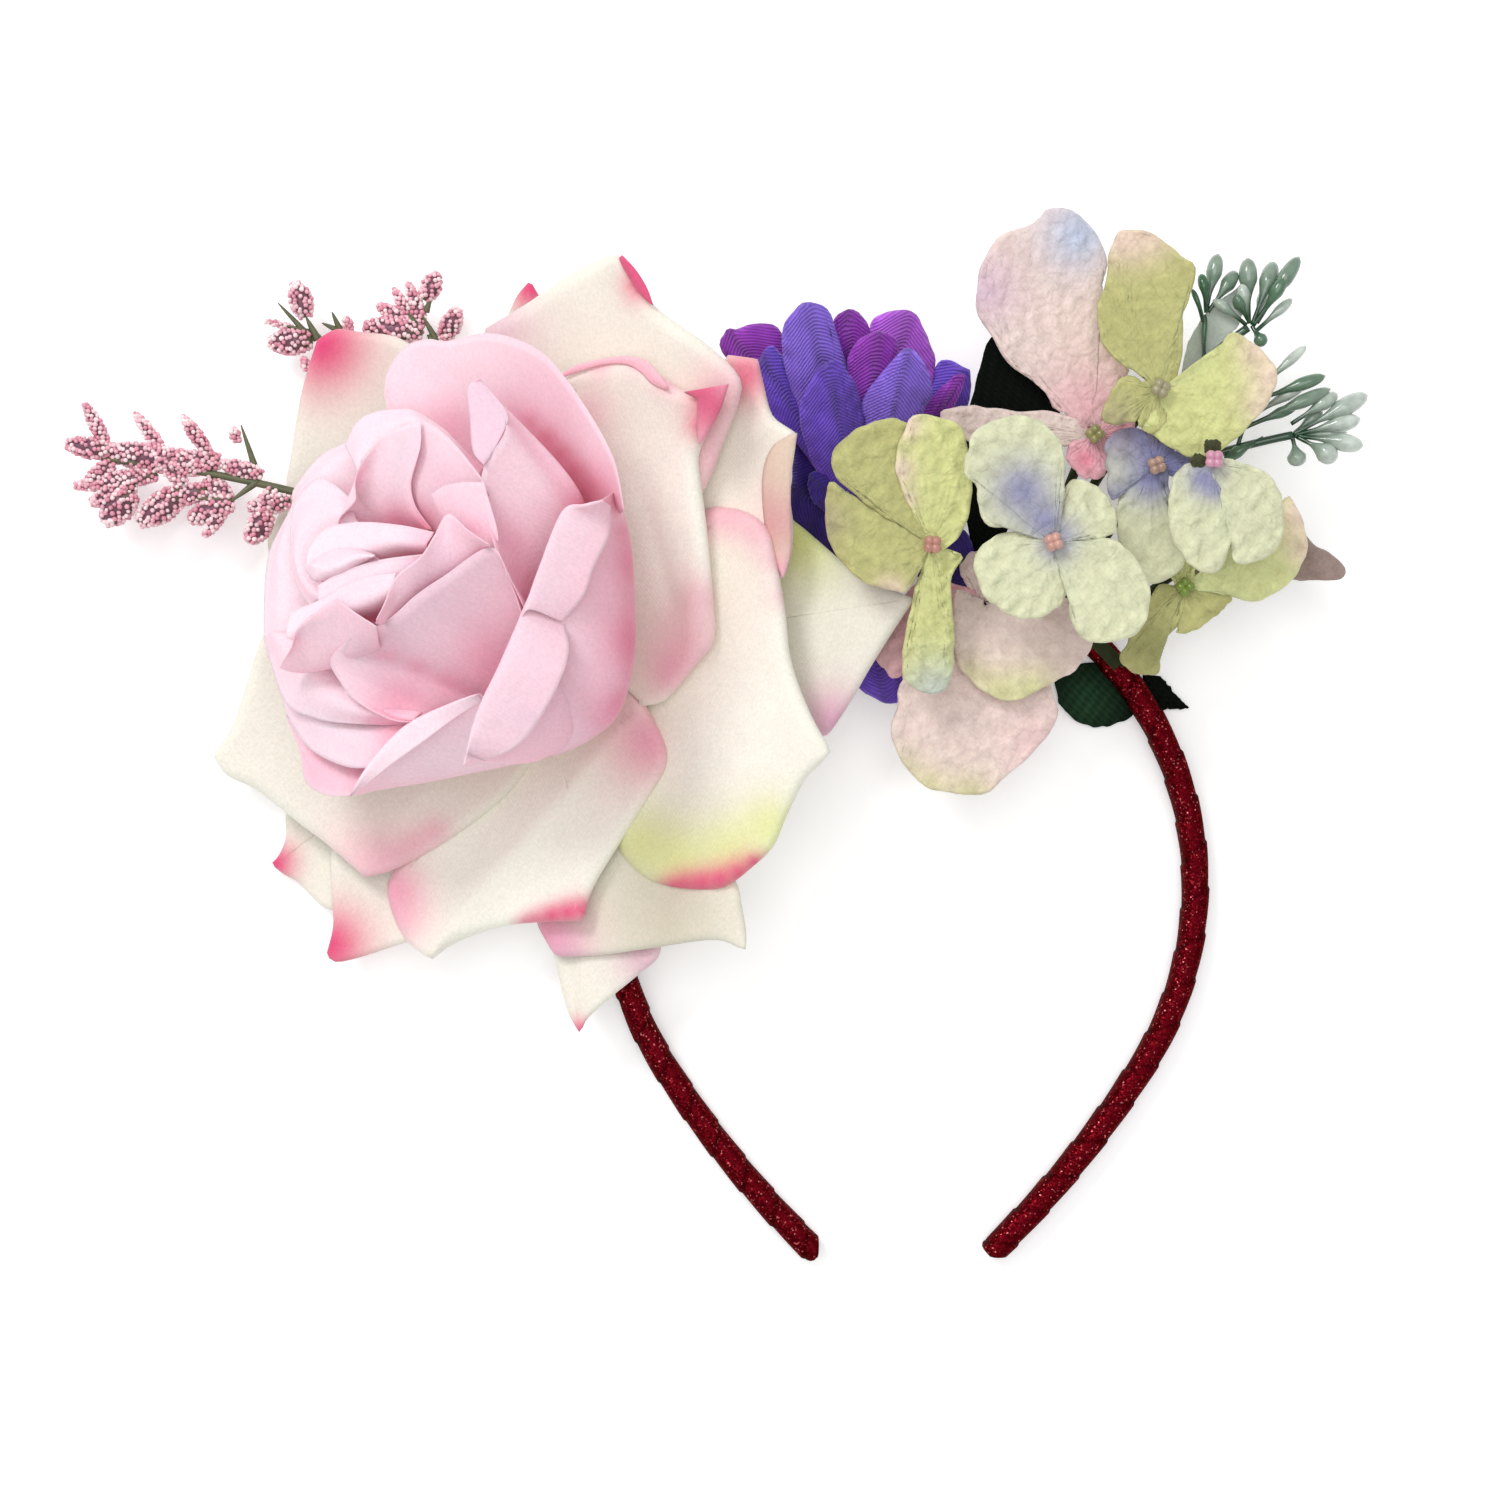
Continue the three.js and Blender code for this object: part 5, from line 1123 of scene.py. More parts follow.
# Each leaf: root, rim and dabs in pixels, the place and height of its foot, and its lift in degrees
LEAF_PARTS = [
    dict(name="upper_1", root_px=(978, 560), centre=(13.2, -1.6), high=14.7, lift=10,
         edge_px=[(970, 540), (958, 470), (972, 400), (990, 337), (1040, 320), (1062, 370), (1056, 440),
                  (1015, 520), (990, 560)]),
    dict(name="lower_1", root_px=(1134, 694), centre=(57.5, -29.0), high=0.9, lift=0,
         edge_px=[(1130, 676), (1088, 662), (1053, 682, "corner"), (1059, 703), (1076, 721), (1102, 727),
                  (1130, 718), (1136, 704)],
         dabs_px=[(1090, 700, 34, LEAF_LIGHT, 0.7)]),
    dict(name="lower_2", root_px=(1143, 693), centre=(57.5, -29.0), high=0.9, lift=0,
         edge_px=[(1142, 674), (1160, 676), (1176, 693), (1189, 708, "corner"), (1168, 710), (1144, 708)]),
]
for number, leaf in enumerate(LEAF_PARTS):
    sheet = lobe_sheet(
        leaf["root_px"], leaf["edge_px"], leaf["centre"], leaf["high"], leaf["lift"],
        roll=0.4, curl=40, keel=0.8, crinkle=0.12, seed=200 + number, base=LEAF_DARK_WITH_PAINTED_SHADE,
        dabs=leaf.get("dabs_px", []))
    piece = sewn_piece("leaf_blade_" + leaf["name"], [sheet], LEAF_THICK, leaf_cloth)
    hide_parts("leaf_" + leaf["name"])

# Hydrangea florets: four-petalled flowers of crinkled cotton in pale green, blush and taupe, dyed by hand.
# Each is stamped in one piece, its petals pressed with veins, and threaded on its stem, most under a bead.
FLORET_THICK = 0.45
FLORET_CRINKLE = 0.55
FLORET_STEP = 0.12
GREEN = tint(214, 217, 150)
# A lighter green, painted light on a petal that tilts into shade.
GREEN_PAINTED_LIGHT = tint(224, 228, 166)
OLIVE_GREEN = tint(190, 189, 128)
# Dark olive: painted shadow on two small hidden petals, and a darker dab on another petal.
DARK_OLIVE = tint(70, 72, 46)
PALE_GREEN = tint(222, 224, 188)
BLUE = tint(136, 136, 182)
SKY = tint(186, 200, 224)
SHELL = tint(238, 216, 208)
ORCHID = tint(214, 188, 204)
CORAL = tint(244, 184, 194)
TAUPE = tint(160, 142, 134)
PEACH_TIP = tint(240, 214, 198)
BEAD_CLAY = tint(186, 132, 116)
BEAD_ROSE = tint(198, 150, 138)
BEAD_OLIVE = tint(142, 138, 86)
BEAD_SAGE = tint(156, 148, 116)
BEAD_PINK = tint(204, 142, 166)
BEAD_TAN = tint(172, 140, 124)
BEAD_GREEN = tint(112, 134, 44)
# Each floret: slot, place of its middle, bead colour, and petals with a lift, colour, rim and dabs in pixels
FLORETS = [
    dict(name="left_green", slot="floret_green", middle=(3.2, 0.0, 38.0), bead=BEAD_CLAY, petals=[
        dict(lift=5, shade=OLIVE_GREEN, edge_px=[
            (925, 536), (903, 526), (879, 514), (845, 487), (832, 470), (836, 448), (855, 429), (879, 421),
            (900, 419), (925, 440), (934, 530)]),
        dict(lift=-2, shade=OLIVE_GREEN, edge_px=[
            (922, 538), (905, 529), (875, 512), (845, 490), (831, 481), (825, 500), (826, 531), (838, 558),
            (859, 579), (883, 589), (903, 593), (917, 576), (928, 553)],
             dabs_px=[(826, 520, 22, TAUPE, 0.5), (890, 592, 16, PEACH_TIP, 0.8)]),
        dict(lift=-15, crinkle=0.7, shade=GREEN, edge_px=[
            (924, 552), (914, 593), (908, 620), (903, 648), (903, 675), (914, 689), (938, 694), (951, 682),
            (955, 648), (953, 613), (951, 579), (962, 556),
            (945, 548)], dabs_px=[(935, 692, 34, SKY, 0.55)]),
        dict(lift=9, shade=GREEN, edge_px=[
            (930, 537), (917, 520), (903, 493), (895, 472), (896, 455), (903, 434), (912, 417), (927, 414),
            (952, 421), (965, 434), (969, 455), (972, 486), (969, 514), (958, 538), (940, 551)],
             dabs_px=[(898, 470, 16, PEACH_TIP, 0.9), (908, 425, 14, PEACH_TIP, 0.9),
                      (905, 500, 12, PEACH_TIP, 0.8)])]),
    dict(name="front_pale", slot="floret_green", middle=(25.0, 0.0, 44.0), bead=BEAD_ROSE, petals=[
        dict(lift=-8, shade=PALE_GREEN, edge_px=[
            (1053, 530), (1058, 510), (1063, 490), (1075, 479), (1096, 486), (1110, 500), (1117, 517),
            (1115, 533), (1096, 540), (1063, 545)], dabs_px=[(1060, 535, 22, BLUE, 0.7)]),
        dict(lift=7, shade=PALE_GREEN, edge_px=[
            (1049, 536), (1020, 528), (989, 526), (977, 503), (976, 486), (965, 476), (965, 459),
            (969, 448), (972, 434), (993, 421), (1017, 415), (1041, 421), (1058, 438), (1065, 462),
            (1065, 483), (1062, 530)],
             dabs_px=[(1022, 490, 32, BLUE, 0.85), (1045, 522, 22, BLUE, 0.85)]),
        dict(lift=-5, shade=PALE_GREEN, edge_px=[
            (1050, 533), (1020, 531), (996, 536), (979, 548), (974, 565), (979, 589), (1000, 610),
            (1024, 619), (1044, 617), (1062, 603), (1067, 583), (1062, 545)],
             dabs_px=[(1055, 545, 20, BLUE, 0.7)]),
        dict(lift=0, shade=PALE_GREEN, edge_px=[
            (1058, 548), (1086, 541), (1110, 539), (1131, 552), (1144, 572), (1151, 596), (1146, 620),
            (1131, 638), (1103, 644), (1082, 638), (1070, 613), (1067, 579), (1052, 545)],
             dabs_px=[(1060, 545, 20, BLUE, 0.6)])]),
    dict(name="back_pink", slot="floret_blush", middle=(35.0, 22.0, 26.0), bead=BEAD_OLIVE, petals=[
        dict(lift=4, shade=SHELL, edge_px=[
            (1090, 430), (1072, 413), (1055, 410), (1044, 391), (1011, 366), (991, 337), (977, 312),
            (975, 290), (982, 262), (999, 236), (1022, 227), (1036, 221), (1047, 210), (1064, 208),
            (1081, 217), (1095, 231), (1106, 253), (1106, 273), (1100, 293), (1097, 312), (1106, 346),
            (1128, 368), (1126, 380), (1112, 400), (1104, 430)],
             dabs_px=[(1078, 235, 38, SKY, 0.9), (985, 290, 36, ORCHID, 0.9), (1088, 410, 45, CORAL, 0.8)]),
        dict(lift=3, shade=SHELL, edge_px=[
            (1092, 426), (1055, 412), (1013, 411), (993, 407), (963, 406), (940, 413), (950, 432),
            (1000, 450), (1060, 448), (1094, 440)], dabs_px=[(960, 412, 30, TAUPE, 0.3)]),
        dict(lift=0, shade=CORAL, edge_px=[
            (1088, 432), (1072, 440), (1066, 458), (1083, 478), (1106, 475), (1109, 453), (1106, 436)],
             dabs_px=[(1085, 460, 10, TIP_PINK, 0.5)]),
        dict(lift=0, shade=CORAL, edge_px=[
            (1100, 426), (1118, 410), (1132, 412), (1134, 428), (1118, 440), (1102, 440)])]),
    dict(name="upper_green", slot="floret_green", middle=(46.0, 29.3, 36.0), bead=BEAD_SAGE, petals=[
        dict(lift=-4, shade=OLIVE_GREEN, edge_px=[
            (1152, 390), (1142, 374), (1123, 366), (1106, 352), (1099, 332), (1097, 307), (1106, 281),
            (1109, 253), (1117, 234), (1128, 229), (1156, 234), (1173, 248), (1182, 256), (1193, 265),
            (1194, 281), (1184, 312), (1184, 332), (1182, 354), (1176, 380), (1166, 391)],
             dabs_px=[(1122, 240, 26, PEACH_TIP, 0.9), (1150, 235, 24, PEACH_TIP, 0.8)]),
        dict(lift=0, shade=OLIVE_GREEN, edge_px=[
            (1155, 383), (1140, 380), (1126, 374), (1112, 391), (1100, 416), (1109, 424), (1134, 422),
            (1150, 405), (1162, 396)], dabs_px=[(1115, 415, 18, TAUPE, 0.4)]),
        dict(lift=-5, shade=OLIVE_GREEN, edge_px=[
            (1154, 392), (1140, 412), (1138, 424), (1152, 434), (1166, 425), (1168, 394)]),
        dict(lift=-4, shade=GREEN, edge_px=[
            (1155, 396), (1140, 422), (1156, 438), (1179, 453), (1198, 458), (1221, 450), (1243, 433),
            (1257, 416), (1269, 402), (1277, 374), (1263, 352), (1232, 332), (1213, 357), (1190, 378),
            (1164, 384)],
             dabs_px=[(1274, 378, 26, PEACH_TIP, 0.9), (1255, 350, 18, PEACH_TIP, 0.8),
                      (1262, 408, 20, PEACH_TIP, 0.7)])]),
    dict(name="right_pale", slot="floret_green", middle=(55.0, 15.5, 41.0), bead=BEAD_PINK, petals=[
        # Painted shadow: these two small hidden petals are coloured dark olive to read as shade.
        dict(lift=0, shade=DARK_OLIVE, edge_px=[
            (1208, 458), (1204, 448), (1207, 440), (1217, 440), (1222, 448), (1216, 459)]),
        dict(lift=0, shade=DARK_OLIVE, edge_px=[
            (1207, 458), (1198, 453), (1191, 458), (1191, 464), (1199, 468), (1208, 466)]),
        dict(lift=-6, shade=PALE_GREEN, edge_px=[
            (1204, 463), (1182, 465), (1172, 483), (1168, 510), (1172, 538), (1182, 555), (1196, 569),
            (1217, 572), (1227, 555), (1232, 531), (1230, 503), (1222, 476)],
             dabs_px=[(1204, 478, 20, BLUE, 0.9), (1216, 490, 12, BLUE, 0.7)]),
        dict(lift=-8, shade=PALE_GREEN, edge_px=[
            (1214, 456), (1241, 462), (1265, 472), (1280, 493), (1284, 517), (1279, 545), (1261, 560),
            (1237, 564), (1228, 540), (1208, 468)], dabs_px=[(1214, 468, 16, BLUE, 0.5)])]),
    dict(name="violet_back", slot="floret_blush", middle=(46.0, 15.5, 31.0), bead=BEAD_TAN, petals=[
        dict(lift=1, shade=BLUE, edge_px=[
            (1162, 458), (1180, 450), (1194, 458), (1194, 470), (1180, 478), (1162, 472)]),
        dict(lift=2, shade=BLUE, edge_px=[
            (1153, 462), (1142, 442), (1146, 426), (1162, 420), (1176, 430), (1178, 446), (1166, 462)],
             dabs_px=[(1150, 430, 16, TAUPE, 0.5)]),
        dict(lift=1.5, shade=BLUE, edge_px=[
            (1156, 474), (1137, 483), (1112, 500), (1106, 469), (1106, 441), (1127, 428), (1148, 433),
            (1158, 456)], dabs_px=[(1112, 470, 26, PALE_GREEN, 0.6), (1120, 440, 18, TAUPE, 0.4)]),
        dict(lift=-5, shade=PALE_GREEN, edge_px=[
            (1154, 462), (1132, 482), (1118, 498), (1118, 538), (1132, 568), (1151, 584), (1172, 578),
            (1184, 560), (1176, 520), (1170, 486), (1166, 464)],
             dabs_px=[(1150, 478, 30, BLUE, 0.9), (1158, 470, 20, BLUE, 0.8)])]),
    dict(name="lower_right", slot="floret_green", middle=(52.5, -7.0, 24.0), bead=BEAD_GREEN, petals=[
        # This petal's lighter green is painted light on a petal that tilts into shade.
        dict(lift=5, shade=GREEN_PAINTED_LIGHT, edge_px=[
            (1182, 582), (1224, 566), (1255, 540), (1275, 515), (1286, 496), (1299, 510), (1306, 527),
            (1308, 548), (1299, 572), (1282, 589), (1258, 601), (1230, 598), (1190, 598)],
             dabs_px=[(1298, 515, 24, PEACH_TIP, 0.9), (1304, 550, 18, PEACH_TIP, 0.8)]),
        dict(lift=1, shade=GREEN, edge_px=[
            (1178, 588), (1158, 560), (1160, 540), (1180, 532), (1200, 545), (1192, 586)]),
        dict(lift=-5, shade=OLIVE_GREEN, edge_px=[
            (1178, 586), (1158, 586), (1144, 610), (1131, 634), (1120, 655), (1127, 669), (1144, 675),
            (1158, 674), (1162, 651), (1168, 638), (1179, 624), (1190, 600)],
             dabs_px=[(1150, 648, 26, DARK_OLIVE, 0.3)]),
        dict(lift=-1, shade=OLIVE_GREEN, edge_px=[
            (1180, 598), (1181, 620), (1176, 634), (1199, 628), (1220, 613), (1232, 598), (1213, 590),
            (1190, 586)])]),
    dict(name="lower_pink", slot="floret_blush", middle=(14.5, -9.5, 23.0), bead=None, petals=[
        dict(lift=0, shade=SHELL, edge_px=[
            (978, 598), (960, 575), (966, 556), (985, 550), (1002, 560), (1004, 580),
            (992, 600)]),
        dict(lift=-5, shade=CORAL, edge_px=[
            (978, 592), (950, 582), (918, 583), (897, 604), (879, 638), (874, 655), (883, 669), (900, 677),
            (940, 645), (980, 612)], dabs_px=[(885, 650, 50, TAUPE, 0.55)]),
        dict(lift=-6, shade=SHELL, edge_px=[
            (975, 605), (940, 640), (903, 680), (898, 705), (890, 727), (895, 748), (907, 768), (931, 789),
            (962, 794), (986, 793), (1007, 775), (1027, 758), (1048, 737), (1057, 717), (1055, 700),
            (1036, 650), (995, 605)],
             dabs_px=[(925, 790, 24, GREEN, 0.7), (970, 798, 24, GREEN, 0.7), (900, 765, 16, GREEN, 0.5),
                      (1040, 745, 30, CORAL, 0.35)]),
        dict(lift=4, shade=SHELL, edge_px=[
            (974, 596), (955, 590), (952, 620), (955, 655), (965, 675), (986, 694), (1013, 701),
            (1034, 693), (1055, 681), (1075, 669), (1092, 645), (1085, 610), (1040, 590), (992, 590)],
             dabs_px=[(1000, 695, 26, GREEN, 0.75), (1035, 692, 26, GREEN, 0.75),
                      (970, 675, 20, GREEN, 0.5)])]),
    dict(name="far_taupe", slot="floret_taupe", middle=(60.0, 2.0, 17.0), bead=None, petals=[
        dict(lift=0, shade=TAUPE, edge_px=[
            (1208, 540), (1205, 510), (1220, 485), (1245, 485), (1252, 510), (1228, 540)]),
        dict(lift=0, shade=TAUPE, edge_px=[
            (1214, 535), (1190, 520), (1168, 532), (1168, 548), (1190, 560), (1214, 552)]),
        dict(lift=0, shade=TAUPE, edge_px=[
            (1206, 548), (1188, 575), (1190, 598), (1210, 602), (1228, 585), (1226, 548)]),
        dict(lift=4, shade=TAUPE, edge_px=[
            (1222, 532), (1260, 515), (1295, 522), (1310, 541), (1327, 552), (1345, 567), (1340, 580),
            (1317, 581), (1285, 580), (1240, 566), (1218, 552)])]),
]
BEAD_LIFT = 2.5
KNOB_RADIUS = 1.05
KNOB_OUT = 0.9
KNOB_RISE = 0.25
KNOB_TURNS = (40, 130, 220, 310)
KNOB_SWING = 23
STALK_RADIUS = 1.2
STALK_DROP = 0.5
STALK_SHADE = 0.7
BALL_RINGS = 6
BALL_SIDES = 10
floret_cloth = cloth_finish(
    "crinkled_floret_cloth", threads=700.0, contrast=0.05, mottle=0.1, bump=0.2, roughness=0.85,
    sheen=0.1, glow=0.1, gloss=0.2, crinkle=0.45)


def ringed_piece(name, parts, finish):
    """One piece from closed skins: each is rings of points and the dye of each ring."""
    points = []
    point_colours = []
    faces = []
    start = 0
    for rings, point_colour in parts:
        count, sides = rings.shape[:2]
        points.append(rings.reshape(-1, 3))
        point_colours.append(np.repeat(np.asarray(point_colour), sides, axis=0))
        faces += ring_faces(count, sides, start)
        start += count * sides
    return make_piece(name, np.concatenate(points), faces, finish, np.concatenate(point_colours))


def ball_rings(middle, radius, rings=BALL_RINGS, sides=BALL_SIDES):
    """Rings of points on a ball, a little short of its poles."""
    angles = np.linspace(-math.pi / 2 * 0.9, math.pi / 2 * 0.9, rings)[:, None]
    turns = np.linspace(0, 2 * math.pi, sides, endpoint=False)[None, :]
    shape = np.stack([np.cos(angles) * np.cos(turns), np.cos(angles) * np.sin(turns),
                      np.sin(angles) + 0 * turns], -1)
    return np.asarray(middle) + radius * shape


def plastic_group():
    """A shared plastic effect: a faint uneven grain over a dye, and a height for the bump."""
    group, given, made = new_group(
        "moulded_plastic", {"Point colour": "Color"}, {"Colour": "Color", "Height": "Float"})
    place = add_node(group, "TexCoord")
    grain = add_node(group, "TexNoise", {
        "Vector": place.outputs["Object"], "Scale": 700.0, "Detail": 3.0})
    share = add_node(group, "MapRange", {
        "Value": grain.outputs["Fac"], "From Min": 0.3, "From Max": 0.7, "To Min": 0.82, "To Max": 1.1})
    colour = add_node(group, "VectorMath", {
        0: given.outputs["Point colour"], "Scale": share.outputs["Result"]}, operation="SCALE")
    group.links.new(colour.outputs["Vector"], made.inputs["Colour"])
    group.links.new(grain.outputs["Fac"], made.inputs["Height"])
    return group


MOULDED = plastic_group()


def glossy_finish(name, roughness, coat):
    """A smooth moulded plastic in the dye painted on the mesh, faintly uneven."""
    finish, tree = new_finish(name)
    point_colour = add_node(tree, "VertexColor", layer_name="point_colour")
    plastic = add_node(tree, "Group", node_tree=MOULDED, sockets={"Point colour": point_colour.outputs["Color"]})
    bump = add_node(tree, "Bump", {
        "Height": plastic.outputs["Height"], "Strength": 0.25, "Distance": 0.0002})
    close_finish(tree, {
        "Base Color": plastic.outputs["Colour"], "Normal": bump.outputs["Normal"],
        "Roughness": roughness, "Coat Weight": coat, "Coat Roughness": 0.1})
    return finish


bead_gloss = glossy_finish("floret_bead_gloss", roughness=0.25, coat=0.6)
for number, floret in enumerate(FLORETS):
    middle = np.array(floret["middle"])
    root = pixels(middle)
    sheets = []
    for part, petal in enumerate(floret["petals"]):
        sheets.append(lobe_sheet(
            root, petal["edge_px"], middle[:2], middle[2] + FLORET_STEP * part, petal["lift"],
            roll=0.9, curl=65, keel=0.8, crinkle=petal.get("crinkle", FLORET_CRINKLE),
            seed=300 + 10 * number + part, base=petal["shade"], dabs=petal.get("dabs_px", [])))
    piece = sewn_piece("floret_petals_" + floret["name"], sheets, FLORET_THICK, floret_cloth)
    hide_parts("floret_" + floret["name"])
    if floret["bead"] is not None:
        knobs = []
        bead_middle = middle + np.array([0.0, 0.0, BEAD_LIFT])
        for turn in KNOB_TURNS:
            way = math.radians(turn + KNOB_SWING * number)
            shift = KNOB_OUT * np.array([math.cos(way), math.sin(way), KNOB_RISE])
            knob = ball_rings(bead_middle + shift, KNOB_RADIUS)
            knobs.append((knob, np.tile(floret["bead"], (BALL_RINGS, 1))))
        stalk = ball_rings(bead_middle - np.array([0.0, 0.0, STALK_DROP]), STALK_RADIUS)
        knobs.append((stalk, np.tile(floret["bead"] * STALK_SHADE, (BALL_RINGS, 1))))
        bead = ringed_piece("bead_knobs_" + floret["name"], knobs, bead_gloss)
        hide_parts("bead_" + floret["name"])

# Pink sprigs: wire stems with olive paper, their twigs crowded with tiny pink blossom buds.
# The buds are seed-sized pips glued round a mauve core; the stems lie on a skirt petal, under the bud.
SPRIG_STEM = 0.9
SPRIG_TWIG = 0.6
STEM_RINGS = 24
LEAFLET_RINGS = 10
SPIKE_RINGS = 12
CORE_LEAST = 0.35
CORE_DEPTH = 0.75
PIP_RADIUS = 0.5
PIP_RINGS = 4
PIP_SIDES = 6
GOLDEN_TURN = 2.399963
PIPS_A_SQUARE_MM = 0.62
PIPS_LEAST = 6
PIP_OUT_LEAST = 0.2
OLIVE = tint(92, 96, 66)
MAUVE_CORE = tint(112, 72, 88)
PIP_SHADES = [tint(246, 206, 214), tint(236, 178, 192), tint(252, 228, 230), tint(224, 152, 170)]
# Each pink sprig: stem points, the height of its twigs, and blossom spikes and leaflets, each from its
# foot to its tip in pixels with a width in millimetres
PINK_SPRIGS = [
    dict(name="plume", high=13.0, stem=[(-103, 7.5, 9.3), (-128, 16, 15), (-158, 19, 13)], spikes_px=[
        (262, 475, 220, 463, 4.1), (220, 461, 160, 466, 5.6), (207, 466, 98, 450, 6.2),
        (183, 483, 148, 442, 4.4), (107, 445, 85, 404, 3.4), (110, 451, 66, 444, 5.0),
        (164, 453, 135, 413, 3.2), (211, 456, 182, 416, 3.4), (238, 442, 232, 428, 2.8),
        (157, 475, 75, 486, 4.4), (136, 485, 91, 503, 5.0), (133, 492, 104, 523, 6.7),
        (183, 492, 139, 523, 6.6), (207, 489, 169, 501, 4.7), (233, 501, 189, 520, 5.4),
        (227, 504, 205, 536, 3.5), (207, 478, 233, 501, 4.1), (290, 501, 248, 508, 4.6),
        (268, 513, 249, 542, 5.6), (273, 489, 262, 513, 4.1), (113, 463, 86, 483, 4.1)],
         leaflets_px=[(255, 467, 241, 425, 1.4), (258, 481, 230, 502, 1.6), (230, 500, 195, 498, 1.4)]),
    dict(name="left_tuft", high=8.0, stem=[(-92, 8, 7.8), (-106, 30, 6), (-116.5, 44, 8)], spikes_px=[
        (306, 317, 295, 282, 5.2), (312, 340, 269, 343, 5.9), (292, 327, 265, 321, 2.0),
        (308, 371, 303, 357, 2.5), (350, 330, 345, 317, 2.6)],
         leaflets_px=[(306, 333, 278, 303, 1.3), (311, 332, 279, 324, 1.1), (318, 340, 306, 317, 1.8),
                      (337, 330, 322, 323, 1.3), (340, 330, 332, 312, 1.4)]),
    dict(name="top_tuft", high=10.0, stem=[(-84, 6, 9.4), (-90, 28, 8), (-94, 44, 10)], spikes_px=[
        (423, 325, 408, 283, 3.5), (424, 300, 438, 273, 4.7), (411, 322, 394, 288, 2.9),
        (422, 333, 364, 327, 5.9), (408, 324, 378, 305, 3.8), (443, 340, 459, 308, 4.7)],
         leaflets_px=[(437, 341, 422, 315, 1.5), (426, 312, 432, 294, 1.4), (419, 328, 408, 313, 1.3)]),
]


def bent_line(marks, share):
    """A point on the bent line through three marks."""
    a, b, c = (np.array(mark, float) for mark in marks)
    return (1 - share) ** 2 * a + 2 * share * (1 - share) * b + share ** 2 * c


def tube_rings(path, radii, sides):
    """Rings of points round a path."""
    path = np.asarray(path, float)
    along = np.gradient(path, axis=0)
    along /= np.linalg.norm(along, axis=1, keepdims=True) + TINY
    aside = np.cross(along, np.array([0.0, 0.0, 1.0]))
    aside /= np.linalg.norm(aside, axis=1, keepdims=True) + TINY
    over = np.cross(aside, along)
    turns = np.linspace(0, 2 * math.pi, sides, endpoint=False)[None, :, None]
    ring = np.cos(turns) * aside[:, None, :] + np.sin(turns) * over[:, None, :]
    return path[:, None, :] + np.asarray(radii, float)[:, None, None] * ring


def twig_path(mark, low, high, count):
    """Points from a twig's foot to its tip, traced in pixels, at two heights."""
    across = np.array([mark[0], mark[2]], float)
    down = np.array([mark[1], mark[3]], float)
    ends = seen(across, down, np.array([low, high]))
    return ends[0] + (ends[1] - ends[0]) * np.linspace(0, 1, count)[:, None]


blossom = glossy_finish("blossom_pips", roughness=0.55, coat=0.1)
for number, sprig in enumerate(PINK_SPRIGS):
    chance = np.random.default_rng(500 + number)
    stem_path = [bent_line(sprig["stem"], share) for share in np.linspace(0, 1, STEM_RINGS)]
    stem_radii = np.linspace(SPRIG_STEM, SPRIG_TWIG, STEM_RINGS)
    parts = [(tube_rings(stem_path, stem_radii, sides=8), np.tile(OLIVE, (STEM_RINGS, 1)))]
    for leaflet in sprig["leaflets_px"]:
        path = twig_path(leaflet, sprig["high"], sprig["high"] + 1.0, LEAFLET_RINGS)
        width = leaflet[4] / 2 * np.linspace(1.0, 0.05, LEAFLET_RINGS) ** 0.6
        parts.append((tube_rings(path, width, sides=6), np.tile(OLIVE, (LEAFLET_RINGS, 1))))
    for spike in sprig["spikes_px"]:
        rise = chance.uniform(-1.2, 1.6)
        path = twig_path(spike, sprig["high"], sprig["high"] + rise, SPIKE_RINGS)
        shares = np.linspace(0, 1, SPIKE_RINGS)
        girth = spike[4] / 2 * np.sin(math.pi * (0.16 + 0.74 * shares)) ** 0.7
        core = OLIVE + (MAUVE_CORE - OLIVE) * np.minimum(1.0, 3 * shares)[:, None]
        parts.append((tube_rings(path, np.maximum(CORE_LEAST, girth - CORE_DEPTH), sides=8), core))
        length = np.linalg.norm(path[-1] - path[0])
        along = (path[-1] - path[0]) / length
        aside = np.cross(along, [0.0, 0.0, 1.0])
        aside /= np.linalg.norm(aside)
        over = np.cross(aside, along)
        count = int(PIPS_A_SQUARE_MM * math.pi * spike[4] * length) + PIPS_LEAST
        for pip in range(count):
            share = (pip + 0.5) / count
            out = max(PIP_OUT_LEAST, np.interp(share, shares, girth) - PIP_RADIUS)
            turn = pip * GOLDEN_TURN + chance.uniform(-0.3, 0.3)
            middle = path[0] + (path[-1] - path[0]) * share
            middle = middle + out * (math.cos(turn) * aside + math.sin(turn) * over)
            shade = PIP_SHADES[chance.integers(len(PIP_SHADES))]
            size = PIP_RADIUS * chance.uniform(0.85, 1.2)
            parts.append((ball_rings(middle, size, PIP_RINGS, PIP_SIDES), np.tile(shade, (PIP_RINGS, 1))))
    piece = ringed_piece("blossom_" + sprig["name"], parts, blossom)
    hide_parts("pink_sprig_" + sprig["name"])

# Frost sprigs: moulded glossy green plastic, each twig ending in a club that is frosted white.
# Their stems are pushed in among the hydrangea's branches at the upper right, with a small grey leaf.
FROST_STEM = 0.8
FROST_STALK = 0.42
FROST_LEAF_THICK = 0.45
CLUB_RINGS = 22
CLUB_FROM = 0.3
CLUB_SWELL = 0.35
CLUB_END = 0.72
FROST_FROM = 0.2
FROST_GROW = 0.6
FROST_MID_GAIN = 1.6
FROST_GREEN = tint(18, 62, 34)
FROST_MID = tint(46, 94, 60)
FROST_WHITE = tint(206, 214, 206)
